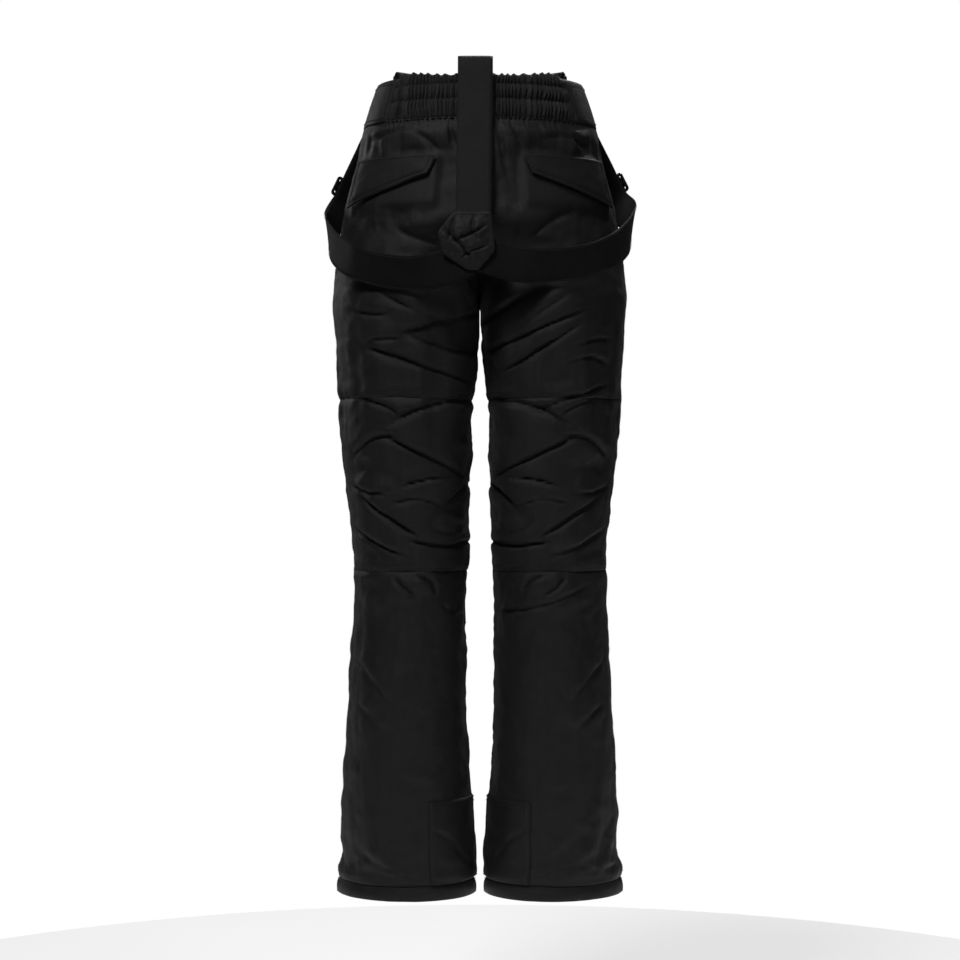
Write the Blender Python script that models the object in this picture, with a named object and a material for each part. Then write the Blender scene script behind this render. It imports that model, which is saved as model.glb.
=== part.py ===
"""Ski trousers with elastic braces, held at the waist. Metres, +Z up, front faces -Y, wearer's left +X."""
import math

import bmesh
import bpy
from mathutils import Matrix, Vector

for old in list(bpy.data.objects):
    bpy.data.objects.remove(old, do_unlink=True)

# Heights, measured down from the rear waistband's top edge
BAND_LOW = -0.054
RISE_START = -0.175
CROTCH = -0.285
THIGH_SEAM = -0.403
FRONT_KNEE_TOP = -0.460
CALF_SEAM = -0.622
FRONT_KNEE_LOW = -0.700
HEM_SEAM = -1.023
HEM = -1.042

WALL = 0.003
GAP = 0.0004
STRAP_WIDE = 0.045
STRAP_THICK = 0.0020
WEB_WIDE = 0.044
SLIDER_CLEAR = 0.0003

# Height, outer half width, inner edge of a leg, depth behind and depth in front of the side seam
STATIONS = (
    (0.000, 0.132, 0.0005, 0.099, 0.097),
    (-0.055, 0.150, 0.0005, 0.104, 0.098),
    (-0.110, 0.167, 0.0005, 0.113, 0.098),
    (-0.170, 0.183, 0.0005, 0.122, 0.098),
    (-0.230, 0.192, 0.0005, 0.124, 0.098),
    (-0.285, 0.1955, 0.0022, 0.117, 0.095),
    (-0.406, 0.185, 0.0104, 0.100, 0.088),
    (-0.510, 0.174, 0.0118, 0.088, 0.084),
    (-0.590, 0.165, 0.0145, 0.082, 0.082),
    (-0.660, 0.164, 0.0168, 0.080, 0.079),
    (-0.790, 0.171, 0.0176, 0.084, 0.078),
    (-0.900, 0.177, 0.0130, 0.087, 0.083),
    (-1.042, 0.184, 0.0072, 0.090, 0.090),
)

OBJECT = bpy.data.collections.new("ski_trousers")
CUTTERS = bpy.data.collections.new("cutters")
bpy.context.scene.collection.children.link(OBJECT)
bpy.context.scene.collection.children.link(CUTTERS)


def material(name, colour, roughness=0.8, metallic=0.0):
    made = bpy.data.materials.new(name)
    made.use_nodes = True
    shader = made.node_tree.nodes["Principled BSDF"]
    shader.inputs["Base Color"].default_value = (*colour, 1.0)
    shader.inputs["Roughness"].default_value = roughness
    shader.inputs["Metallic"].default_value = metallic
    return made


SHELL = (0.018, 0.018, 0.020)
ELASTIC = (0.022, 0.022, 0.024)
TAPE = (0.012, 0.012, 0.013)
METAL = (0.55, 0.55, 0.56)
PLASTIC = (0.03, 0.03, 0.032)


def finish(name, mesh, colour, roughness=0.8, metallic=0.0, matrix=None):
    """One named object with its own material."""
    made = bpy.data.objects.new(name, mesh)
    mesh.materials.clear()
    mesh.materials.append(material(name, colour, roughness, metallic))
    OBJECT.objects.link(made)
    if matrix:
        made.matrix_world = matrix
    return made


def smooth_step(low, high, value):
    share = min(1.0, max(0.0, (value - low) / (high - low)))
    return share * share * (3 - 2 * share)


def station(z):
    """The four body dimensions at a height, by smooth interpolation between the stations."""
    z = min(STATIONS[0][0], max(STATIONS[-1][0], z))
    last = len(STATIONS) - 1
    i = next(k for k in range(last) if STATIONS[k + 1][0] <= z + 1e-12)
    above, top, low, below = (STATIONS[min(last, max(0, k))] for k in (i - 1, i, i + 1, i + 2))
    span = low[0] - top[0]
    share = (z - top[0]) / span
    values = []
    for k in range(1, 5):
        lead = (low[k] - above[k]) / (low[0] - above[0]) * span if low[0] != above[0] else 0.0
        trail = (below[k] - top[k]) / (below[0] - top[0]) * span
        a = 2 * top[k] - 2 * low[k] + lead + trail
        b = -3 * top[k] + 3 * low[k] - 2 * lead - trail
        values.append(((a * share + b) * share + lead) * share + top[k])
    return values


def body(side, face, t, z):
    """A point of the garment: t runs from the side seam, 0, to the centre seam or inseam, 1."""
    outer, inner, back, front = station(z)
    deep = back if face > 0 else front
    torso = (outer * math.cos(math.pi * t / 2) + inner * t, deep * math.sin(math.pi * t / 2))
    middle = (outer + inner) / 2
    half = (outer - inner) / 2
    leg = (middle + half * math.cos(math.pi * t), deep * math.sin(math.pi * t))
    w = smooth_step(-RISE_START, -CROTCH, -z)
    x = torso[0] * (1 - w) + leg[0] * w
    y = torso[1] * (1 - w) + leg[1] * w
    return Vector((side * x, face * (y + GAP * 0.75), z))


def outward(side, face, t, z):
    step = 1e-3
    a = body(side, face, min(1, t + step), z) - body(side, face, max(0, t - step), z)
    b = body(side, face, t, z + step) - body(side, face, t, z - step)
    normal = a.cross(b) * (side * face)
    return normal.normalized()


def on_body(side, face, t, z, out):
    return body(side, face, t, z) + outward(side, face, t, z) * out


def shell_mesh(name, outer, inner, ring=False):
    """A closed wall between two grids of points of the same size; ring closes each row on itself."""
    mesh = bmesh.new()
    rows, count = len(outer), len(outer[0])
    grids = [[[mesh.verts.new(p) for p in row] for row in grid] for grid in (outer, inner)]
    steps = count if ring else count - 1
    for grid in grids:
        for i in range(rows - 1):
            for j in range(steps):
                k = (j + 1) % count
                mesh.faces.new((grid[i][j], grid[i][k], grid[i + 1][k], grid[i + 1][j]))
    a, b = grids
    for i in (0, rows - 1):
        for j in range(steps):
            k = (j + 1) % count
            mesh.faces.new((a[i][j], a[i][k], b[i][k], b[i][j]))
    if not ring:
        for j in (0, count - 1):
            for i in range(rows - 1):
                mesh.faces.new((a[i][j], a[i + 1][j], b[i + 1][j], b[i][j]))
    bmesh.ops.recalc_face_normals(mesh, faces=mesh.faces)
    data = bpy.data.meshes.new(name)
    mesh.to_mesh(data)
    mesh.free()
    return data


def spread(low, high, count):
    return [low + (high - low) * k / (count - 1) for k in range(count)]


def panel(name, side, face, span, heights, size, outs=(0.0, -WALL), colour=SHELL):
    """A sewn panel that follows the garment between two seams."""
    ts, zs = spread(*span, size[0]), spread(*heights, size[1])
    grids = [[[on_body(side, face, t, z, out) for t in ts] for z in zs] for out in outs]
    return finish(name, shell_mesh(name, *grids), colour)


def leg_point(side, angle, z, out):
    """A point round one leg: angle 0 is the outer seam, 90 degrees behind, 180 the inseam."""
    outer, inner, back, front = station(z)
    deep = back if math.sin(angle) > 0 else front
    middle, half = (outer + inner) / 2, (outer - inner) / 2
    normal = Vector((math.cos(angle) / half, math.sin(angle) / deep)).normalized()
    x = middle + half * math.cos(angle) + normal.x * out
    y = deep * math.sin(angle) + normal.y * out
    return Vector((side * x, y, z))


def leg_ring(name, side, rows, wall, colour, count=28):
    """A closed band round one leg: each row is a height and how far its outside stands out."""
    turns = [2 * math.pi * k / count for k in range(count)]
    outer = [[leg_point(side, turn, z, out) for turn in turns] for z, out in rows]
    inner = [[leg_point(side, turn, z, out - wall) for turn in turns] for z, out in rows]
    return finish(name, shell_mesh(name, outer, inner, ring=True), colour)


def routed(points, steps):
    """Points of a smooth curve through the route, with the local tangent of each."""
    curve = []
    last = len(points) - 1
    for i in range(last):
        a, b, c, d = (points[min(last, max(0, k))] for k in (i - 1, i, i + 1, i + 2))
        count = max(1, round((c - b).length / steps))
        for k in range(count + (i == last - 1)):
            u = k / count
            curve.append(
                0.5
                * (
                    2 * b
                    + (c - a) * u
                    + (2 * a - 5 * b + 4 * c - d) * u * u
                    + (3 * b - a - 3 * c + d) * u * u * u
                )
            )
    tangents = []
    for i in range(len(curve)):
        ahead, behind = curve[min(len(curve) - 1, i + 1)], curve[max(0, i - 1)]
        tangents.append((ahead - behind).normalized())
    return curve, tangents


def ribbon(name, points, facing, width, thick, colour, steps=0.012):
    """Flat webbing along a route: facing gives the way its outer face looks at a point."""
    curve, tangents = routed([Vector(p) for p in points], steps)
    rings = []
    for here, along in zip(curve, tangents):
        look = facing(here, along)
        look = (look - along * look.dot(along)).normalized()
        across = along.cross(look) * (width / 2)
        lift = look * (thick / 2)
        rings.append([
            here + across + lift, here - across + lift, here - across - lift, here + across - lift
        ])
    mesh = bmesh.new()
    loops = [[mesh.verts.new(p) for p in ring] for ring in rings]
    for low, high in zip(loops, loops[1:]):
        for k in range(4):
            mesh.faces.new((low[k], low[(k + 1) % 4], high[(k + 1) % 4], high[k]))
    mesh.faces.new(loops[0])
    mesh.faces.new(list(reversed(loops[-1])))
    bmesh.ops.recalc_face_normals(mesh, faces=mesh.faces)
    data = bpy.data.meshes.new(name)
    mesh.to_mesh(data)
    mesh.free()
    return finish(name, data, colour)


def block_mesh(name, low, high):
    """A plain box between two corners, in its own frame."""
    mesh = bmesh.new()
    bmesh.ops.create_cube(mesh, size=1.0)
    for vert in mesh.verts:
        for k in range(3):
            vert.co[k] = low[k] + (vert.co[k] + 0.5) * (high[k] - low[k])
    data = bpy.data.meshes.new(name)
    mesh.to_mesh(data)
    mesh.free()
    return data


def plate_mesh(name, outlines, thick):
    """A flat plate in the frame's own X and Z, thick along Y, from an outline and its holes."""
    curve = bpy.data.curves.new(name, "CURVE")
    curve.dimensions = "2D"
    curve.fill_mode = "BOTH"
    curve.extrude = thick / 2
    for outline in outlines:
        line = curve.splines.new("POLY")
        line.points.add(len(outline) - 1)
        for point, (x, z) in zip(line.points, outline):
            point.co = (x, z, 0, 1)
        line.use_cyclic_u = True
    holder = bpy.data.objects.new(name, curve)
    CUTTERS.objects.link(holder)
    mesh = bpy.data.meshes.new_from_object(holder)
    bpy.data.objects.remove(holder, do_unlink=True)
    mesh.transform(Matrix.Rotation(math.pi / 2, 4, "X"))
    work = bmesh.new()
    work.from_mesh(mesh)
    bmesh.ops.remove_doubles(work, verts=work.verts, dist=1e-6)
    bmesh.ops.recalc_face_normals(work, faces=work.faces)
    work.to_mesh(mesh)
    work.free()
    return mesh


def rounded(wide, high, radius, centre=(0.0, 0.0), steps=4):
    """A rectangle's outline with rounded corners."""
    outline = []
    for corner, (sx, sz) in enumerate(((1, 1), (-1, 1), (-1, -1), (1, -1))):
        for k in range(steps + 1):
            turn = math.pi / 2 * (corner + k / steps)
            x = centre[0] + sx * (wide / 2 - radius) + radius * math.cos(turn)
            z = centre[1] + sz * (high / 2 - radius) + radius * math.sin(turn)
            outline.append((x, z))
    return outline


def frame_at(origin, across, out):
    """A frame whose X runs across, Y points out of the cloth and Z runs up the zip."""
    out = out.normalized()
    across = (across - out * across.dot(out)).normalized()
    up = across.cross(out)
    turn = Matrix((across, out, up)).transposed().to_4x4()
    return Matrix.Translation(origin) @ turn


def joined(target, addition):
    """Target with addition united into it."""
    CUTTERS.objects.link(addition)
    union = target.modifiers.new("union", "BOOLEAN")
    union.operation = "UNION"
    union.solver = "EXACT"
    union.object = addition
    addition.hide_render = True
    addition.display_type = "WIRE"
    return target


# A zip: tapes with a coil ridge, a slider with a bridge, and a pull looped under the bridge
TAPE_WIDE, TAPE_THICK = 0.026, 0.0010
COIL_WIDE, COIL_HIGH = 0.0060, 0.0012
BODY_WIDE, BODY_LONG, BODY_HIGH = 0.0090, 0.0120, 0.0030
PULL_LONG, PULL_WIDE, PULL_THICK = 0.0270, 0.0072, 0.0012


def zip_set(name, base, length, rest):
    """base's origin is the middle of the zip's lower end, Z up the zip; the slider rests at a height."""
    tape = block_mesh(name + "_tape", (-TAPE_WIDE / 2, 0, 0), (TAPE_WIDE / 2, TAPE_THICK, length))
    tape = finish(name + "_tape", tape, TAPE, matrix=base)
    coil = bpy.data.objects.new(
        name + "_coil",
        block_mesh(
            name + "_coil",
            (-COIL_WIDE / 2, TAPE_THICK / 2, 0.001),
            (COIL_WIDE / 2, TAPE_THICK + COIL_HIGH, length - 0.001),
        ),
    )
    coil.matrix_world = base
    joined(tape, coil)

    seat = TAPE_THICK + COIL_HIGH + SLIDER_CLEAR
    place = base @ Matrix.Translation((0, seat, rest))
    half = BODY_LONG / 2
    slider = block_mesh(name + "_slider", (-BODY_WIDE / 2, 0, -half), (BODY_WIDE / 2, BODY_HIGH, half))
    slider = finish(name + "_slider", slider, METAL, 0.35, 1.0, place)
    arch = [(-0.0046, 0.0), (-0.0046, 0.0072), (0.0046, 0.0072), (0.0046, 0.0)]
    arch += [(0.0032, 0.0), (0.0032, 0.0056), (-0.0032, 0.0056), (-0.0032, 0.0)]
    bridge = plate_mesh(name + "_bridge", [arch], 0.0014)
    bridge.transform(Matrix(((0, 1, 0, 0), (0, 0, 1, 0.0015), (1, 0, 0, 0), (0, 0, 0, 1))))
    bridge = bpy.data.objects.new(name + "_bridge", bridge)
    bridge.matrix_world = place
    joined(slider, bridge)

    hook = place @ Matrix.Translation((0, BODY_HIGH + 0.0011, 0.0))
    outline = rounded(PULL_WIDE, PULL_LONG, 0.0014, (0, 0.0007 - PULL_LONG / 2))
    eye = rounded(0.0040, 0.0062, 0.0006, (0, -0.0007 - 0.0031), 2)
    pull = plate_mesh(name + "_pull", [outline, eye], PULL_THICK)
    finish(name + "_pull", pull, METAL, 0.35, 1.0, hook)


# Shell panels of both legs
for side, hand in ((1, "left"), (-1, "right")):
    edge = 0.0005
    panel("seat_" + hand, side, 1, (0, 1), (BAND_LOW - GAP, THIGH_SEAM + edge), (11, 15))
    panel("hip_front_" + hand, side, -1, (0, 1), (BAND_LOW - GAP, FRONT_KNEE_TOP + edge), (11, 16))
    panel("knee_back_" + hand, side, 1, (0, 1), (THIGH_SEAM, CALF_SEAM + edge), (11, 7))
    panel("knee_front_" + hand, side, -1, (0, 1), (FRONT_KNEE_TOP, FRONT_KNEE_LOW + edge), (11, 7))
    panel("calf_back_" + hand, side, 1, (0, 1), (CALF_SEAM, HEM_SEAM + edge), (11, 9))
    panel("shin_front_" + hand, side, -1, (0, 1), (FRONT_KNEE_LOW, HEM_SEAM + edge), (11, 8))
    leg_ring("hem_band_" + hand, side, ((HEM_SEAM, 0.001), (HEM, 0.001)), 0.0045, SHELL)
    gaiter = ((-0.850, -0.0040), (-0.900, -0.0120), (-0.970, -0.0190), (-1.016, -0.0220), (-1.030, -0.0205))
    leg_ring("gaiter_" + hand, side, gaiter, 0.0016, ELASTIC, 24)

    # Scuff guard over the inner ankle, in front of and behind the inseam
    turns = spread(math.radians(112), math.radians(248), 13)
    heights = spread(-0.915, HEM_SEAM + 0.001, 4)
    grids = []
    for out in (0.0018, 0.0006):
        grids.append([[leg_point(side, turn, z, out) for turn in turns] for z in heights])
    finish("scuff_guard_" + hand, shell_mesh("scuff_guard_" + hand, *grids), TAPE, 0.6)

# Waistband: a gathered elastic casing behind, and two plain bands that run round from the front
BACK_BAND_START = 0.42
BAND_OUT, BAND_IN = 0.0015, -0.0035


def around(turn, z, out):
    """A point of the waist: turn -1 to 1 runs over the back from the left side to the right."""
    side = 1 if turn <= 0 else -1
    return on_body(side, 1, 1 - abs(turn) * (1 - 1e-6), z, out)


casing = (
    (0.0000, 0.0012), (-0.0060, 0.0030), (-0.0120, 0.0012), (-0.0220, 0.0038),
    (-0.0310, 0.0012), (-0.0420, 0.0038), (BAND_LOW, 0.0014),
)
turns = spread(-(1 - BACK_BAND_START), 1 - BACK_BAND_START, 25)
turns.pop(12)
grids = [
    [[around(turn, z, out) for turn in turns] for z, out in casing],
    [[around(turn, z, BAND_IN) for turn in turns] for z, out in casing],
]
finish("waistband_back", shell_mesh("waistband_back", *grids), ELASTIC)

for side, hand in ((1, "left"), (-1, "right")):
    places = [(1, t) for t in spread(BACK_BAND_START - 0.008, 0.06, 5)]
    places += [(-1, t) for t in spread(0.0, 1.0, 12)]
    grids = [
        [[on_body(side, face, t, z, out) for face, t in places] for z in spread(-0.001, BAND_LOW, 4)]
        for out in (BAND_OUT, BAND_IN)
    ]
    finish("waistband_front_" + hand, shell_mesh("waistband_front_" + hand, *grids), SHELL)

# Closure tab over the centre front, with two snap caps on it
TAB_WIDE, TAB_HIGH, TAB_THICK = 0.066, 0.040, 0.0026
FRONT_FACE = -(STATIONS[0][4] + BAND_OUT + GAP)
TAB_BASE = 0.036
tab_frame = frame_at(Vector((TAB_BASE, FRONT_FACE - 0.0040, -0.027)), Vector((1, 0, 0)), Vector((0, -1, 0)))
outline = [(0, -TAB_HIGH / 2), (0, TAB_HIGH / 2)]
outline += [(-TAB_WIDE + 0.014, TAB_HIGH / 2), (-TAB_WIDE, TAB_HIGH / 2 - 0.014)]
outline += [(-TAB_WIDE, -TAB_HIGH / 2 + 0.014), (-TAB_WIDE + 0.014, -TAB_HIGH / 2)]
finish("waist_tab", plate_mesh("waist_tab", [outline], TAB_THICK), SHELL, matrix=tab_frame)
for k, height in enumerate((0.009, -0.009)):
    for part, low, high, radius in (("cap", 0.0016, 0.0036, 0.0062), ("stud", -0.0032, -0.0018, 0.0050)):
        rim = [(radius * math.cos(a), radius * math.sin(a)) for a in spread(0, 2 * math.pi, 17)[:-1]]
        disc = plate_mesh("snap", [rim], high - low)
        shift = Matrix.Translation((-TAB_WIDE + 0.017, (low + high) / 2, height))
        finish("snap_%s_%d" % (part, k + 1), disc, METAL, 0.3, 1.0, tab_frame @ shift)

# Fly zip, in the straight part of the centre front
FLY_LOW, FLY_LONG = -0.186, 0.125
fly = frame_at(Vector((0, -(0.098 + 0.0010), FLY_LOW)), Vector((-1, 0, 0)), Vector((0, -1, 0)))
zip_set("fly_zip", fly, FLY_LONG, FLY_LONG - 0.011)

# Hand pocket zips on raised welts, and ankle zips down the outer seams
POCKET_TOP, POCKET_LOW = (0.56, -0.070), (0.30, -0.196)
ANKLE_TURN = math.radians(-34)
for side, hand in ((1, "left"), (-1, "right")):
    high = on_body(side, -1, *POCKET_TOP, 0)
    low = on_body(side, -1, *POCKET_LOW, 0)
    middle_t = (POCKET_TOP[0] + POCKET_LOW[0]) / 2
    middle_z = (POCKET_TOP[1] + POCKET_LOW[1]) / 2
    out = outward(side, -1, middle_t, middle_z)
    run = (high - low).normalized()
    out = (out - run * out.dot(run)).normalized()
    proud = 0.0
    for share in spread(0, 1, 9):
        t = POCKET_LOW[0] + (POCKET_TOP[0] - POCKET_LOW[0]) * share
        z = POCKET_LOW[1] + (POCKET_TOP[1] - POCKET_LOW[1]) * share
        proud = max(proud, (body(side, -1, t, z) - low).dot(out))
    base = frame_at(low + out * (proud + 0.0016), out.cross(run), out)
    length = (high - low).length
    zip_set("pocket_zip_" + hand, base, length, length - 0.011)

    # The welt fills the space between the curved cloth and the straight zip
    tops, feet = [], []
    for k in range(9):
        share = -0.03 + 1.06 * k / 8
        across = (-0.0145, -0.0070, 0.0, 0.0070, 0.0145)
        tops.append([base @ Vector((x, -0.0004, share * length)) for x in across])
        row = []
        for x in (-0.0145, -0.007, 0, 0.007, 0.0145):
            aim = base @ Vector((x, 0, share * length))
            z = aim.z
            t = 0.5
            for _ in range(40):
                gap = aim - body(side, -1, t, z)
                along = body(side, -1, min(1, t + 0.01), z) - body(side, -1, t - 0.01, z)
                t += 0.02 * gap.dot(along) / along.length_squared
            row.append(on_body(side, -1, t, z, 0.0005))
        feet.append(row)
    finish("pocket_welt_" + hand, shell_mesh("pocket_welt_" + hand, tops, feet), SHELL)

    low, high = (leg_point(side, ANKLE_TURN, z, 0.0016) for z in (-1.036, -0.868))
    run = (high - low).normalized()
    out = leg_point(side, ANKLE_TURN, -0.95, 0.01) - leg_point(side, ANKLE_TURN, -0.95, 0)
    out = (out - run * out.dot(run)).normalized()
    base = frame_at(low, out.cross(run), out)
    zip_set("ankle_zip_" + hand, base, (high - low).length, 0.036)

# Rear pocket flaps, each hinged along the line of its top edge
FLAP_TOP = -0.104
FLAP_LIFT, FLAP_THICK = 0.0026, 0.0026
FLAP_START, FLAP_END = 0.262, 0.788
FLAP_LOW = ((0.262, -0.165), (0.400, -0.155), (0.520, -0.146), (0.640, -0.137), (0.788, -0.127))


def flap_slant(t, share):
    """The flap's inner end leans outwards towards its lower corner."""
    return t - 0.034 * share * max(0.0, (t - 0.60) / (FLAP_END - 0.60))


for side, hand in ((1, "left"), (-1, "right")):
    columns = spread(FLAP_START, FLAP_END, 12)
    lows = []
    for t in columns:
        k = next((i for i in range(4) if FLAP_LOW[i + 1][0] >= t), 3)
        (t0, z0), (t1, z1) = FLAP_LOW[k], FLAP_LOW[k + 1]
        lows.append(z0 + (z1 - z0) * (t - t0) / (t1 - t0))
    grids = []
    for out in (FLAP_LIFT + FLAP_THICK, FLAP_LIFT):
        grid = []
        for share in spread(0, 1, 5):
            row = []
            for t, low in zip(columns, lows):
                row.append(on_body(side, 1, flap_slant(t, share), FLAP_TOP + (low - FLAP_TOP) * share, out))
            grid.append(row)
        grids.append(grid)
    flap = finish("pocket_flap_" + hand, shell_mesh("pocket_flap_" + hand, *grids), SHELL)
    pin = on_body(side, 1, 0.45, FLAP_TOP, FLAP_LIFT + FLAP_THICK)
    along = body(side, 1, 0.44, FLAP_TOP) - body(side, 1, 0.46, FLAP_TOP)
    place = frame_at(pin, along * side, Vector((0, 0, side)).cross(along))
    flap.data.transform(place.inverted())
    flap.matrix_world = place
    panel("flap_patch_" + hand, side, 1, (0.40, 0.52), (-0.118, -0.128), (5, 2), (0.0015, 0.0004), TAPE)

# Belt loops on the front band
for side, hand in ((1, "left"), (-1, "right")):
    foot = on_body(side, -1, 0.72, -0.027, BAND_OUT + 0.0004)
    look = outward(side, -1, 0.72, -0.027)
    place = frame_at(foot, Vector((0, 0, 1)).cross(look) * -1, look)
    outline = [(-0.025, 0), (-0.025, 0.0012), (-0.021, 0.0012), (-0.018, 0.0046), (0.018, 0.0046)]
    outline += [(0.021, 0.0012), (0.025, 0.0012), (0.025, 0), (0.0204, 0), (0.0174, 0.0034)]
    outline += [(-0.0174, 0.0034), (-0.0204, 0)]
    loop = plate_mesh("belt_loop_" + hand, [outline], 0.011)
    loop.transform(Matrix(((0, 1, 0, 0), (0, 0, 1, 0), (1, 0, 0, 0), (0, 0, 0, 1))))
    finish("belt_loop_" + hand, loop, SHELL, matrix=place)


# Braces: centre webbing over the rear waistband, yoke, and two elastic straps round the hips
def from_axis(here, along):
    return Vector((here.x / 0.034, here.y / 0.014, 0))


def level_back(here, along):
    return along.cross(Vector((1, 0, 0)))


WEB_LINE = ((0.0912, -0.046), (0.0908, -0.020), (0.0922, 0.008), (0.0960, 0.0185), (0.1008, 0.0215))
WEB_LINE += ((0.1055, 0.0185), (0.1085, 0.008), (0.1100, -0.010), (0.1135, -0.045), (0.1205, -0.100))
WEB_LINE += ((0.1270, -0.150), (0.1315, -0.196))
web = [(0.0058 - 0.013 * min(0.0, z), y, z) for y, z in WEB_LINE]
ribbon("brace_back_web", web, level_back, WEB_WIDE, STRAP_THICK, ELASTIC, 0.009)

yoke_frame = frame_at(Vector((0.0, 0.1415, -0.212)), Vector((1, 0, 0)), Vector((0, 1, -0.04)))
outline = [(-0.014, 0.034), (0.033, 0.034), (0.053, 0.008), (0.046, -0.018)]
outline += [(0.016, -0.038), (0.002, -0.038), (-0.019, -0.014)]
finish("brace_yoke", plate_mesh("brace_yoke", [outline], 0.003), ELASTIC, matrix=yoke_frame)

LEFT = [(0.0160, 0.1372, -0.2350), (0.0450, 0.1352, -0.2470), (0.0765, 0.1330, -0.2530)]
LEFT += [(0.1170, 0.1285, -0.2500), (0.1560, 0.1085, -0.2380), (0.1810, 0.0695, -0.2190)]
LEFT += [(0.1935, 0.0340, -0.2000), (0.1965, -0.0020, -0.1800)]
RIGHT = [(0.0005, 0.1372, -0.2290), (-0.0380, 0.1352, -0.2410), (-0.0810, 0.1335, -0.2440)]
RIGHT += [(-0.1290, 0.1255, -0.2380), (-0.1630, 0.0995, -0.2240), (-0.1840, 0.0610, -0.2060)]
RIGHT += [(-0.1950, 0.0260, -0.1870), (-0.1970, -0.0060, -0.1680)]
RISE_LOW = {1: (0.180, -0.045, -0.151), -1: (0.180, -0.043, -0.146)}
RISE_HIGH = Vector((0.122, -0.078, -0.022))


def sling_lean(here):
    """How far the strap's upper edge leans out from the seat and hips, as a slope."""
    wide = abs(here.x)
    lean = 0.52 * smooth_step(0.046, 0.092, wide) * (1 - 0.60 * smooth_step(0.130, 0.185, wide))
    return lean * (1 - smooth_step(-0.004, 0.040, -here.y))


ADJUSTER_PLATE = [rounded(0.053, 0.027, 0.004), rounded(0.0465, 0.0065, 0.001, (0, 0.0065), 2)]
ADJUSTER_PLATE.append(rounded(0.0465, 0.0065, 0.001, (0, -0.0065), 2))

for side, hand, hip in ((1, "left", LEFT), (-1, "right", RIGHT)):
    def mirrored(point):
        return Vector((side * point[0], point[1], point[2]))

    rise_low = Vector(RISE_LOW[side])
    end = on_body(side, -1, 0.50, 0.0, 0.0)
    look = outward(side, -1, 0.50, 0.0)
    look.z = 0
    look.normalize()
    up = Vector((0, 0, 1))
    route = list(hip)
    for share in (0.0, 0.33, 0.67, 1.0):
        route.append(mirrored(rise_low.lerp(RISE_HIGH, share)))
    route += [end + look * 0.0092 + up * 0.004, end + look * 0.0048 + up * 0.0210]
    route += [end + look * -0.0010 + up * 0.0296, end + look * -0.0068 + up * 0.0210]
    route += [end + look * -0.0072 + up * 0.0120]

    rise_look = from_axis(mirrored(rise_low.lerp(RISE_HIGH, 0.4)), None).normalized()

    def facing(here, along, end=end, look=look, rise_look=rise_look):
        plain = from_axis(here, along).normalized() - Vector((0, 0, sling_lean(here)))
        plain = plain.lerp(rise_look, smooth_step(0.004, 0.040, -here.y))
        share = smooth_step(-0.018, 0.012, here.z)
        hub = end - look * 0.0010 + Vector((0, 0, min(0.0205, here.z)))
        return plain.lerp((here - hub).normalized(), share)

    ribbon("brace_strap_" + hand, route, facing, STRAP_WIDE, STRAP_THICK, ELASTIC, 0.011)

    # Hook plate: its lower bar hangs in the webbing loop, its upper bar carries the strap
    plate = frame_at(end - look * 0.0010, up.cross(look) * -1, look)
    outline = [rounded(0.053, 0.0215, 0.003, (0, 0.01475))]
    outline.append(rounded(0.0465, 0.0060, 0.001, (0, 0.0185), 2))
    outline.append(rounded(0.0260, 0.0052, 0.001, (0, 0.0103), 2))
    hook = plate_mesh("brace_hook_" + hand, outline, 0.0024)
    finish("brace_hook_" + hand, hook, PLASTIC, 0.4, matrix=plate)
    hanger = [on_body(side, -1, 0.50, z, BAND_OUT + 0.0023) for z in (-0.024, -0.012, -0.001)]
    hanger += [end + look * 0.0018 + up * 0.0080, end - look * 0.0010 + up * 0.0104]
    hanger += [end - look * 0.0042 + up * 0.0080]
    hanger += [on_body(side, -1, 0.50, z, BAND_IN - 0.0023) for z in (-0.001, -0.010, -0.020)]

    def round_bar(here, along, end=end, look=look):
        if here.z < 0:
            return look if along.z > 0 else -look
        return here - end + look * 0.0010 - Vector((0, 0, min(0.0055, here.z)))

    ribbon("brace_loop_" + hand, hanger, round_bar, 0.022, 0.0010, ELASTIC, 0.004)

    # Adjuster on the straight rise of the strap
    spot = mirrored(rise_low.lerp(RISE_HIGH, 0.14))
    run = (mirrored(RISE_HIGH) - mirrored(rise_low)).normalized()
    out = (rise_look - run * rise_look.dot(run)).normalized()
    place = frame_at(spot + out * 0.0042, run.cross(out) * -1, out)
    adjuster = plate_mesh("brace_adjuster_" + hand, ADJUSTER_PLATE, 0.0022)
    finish("brace_adjuster_" + hand, adjuster, METAL, 0.3, 1.0, place)
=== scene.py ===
"""Looks of the ski trousers: padded shell, gathered waistband, webbing braces, zips and stitching."""
import math

import bmesh
import bpy
import numpy as np
from mathutils import Matrix, Vector, noise


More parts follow.
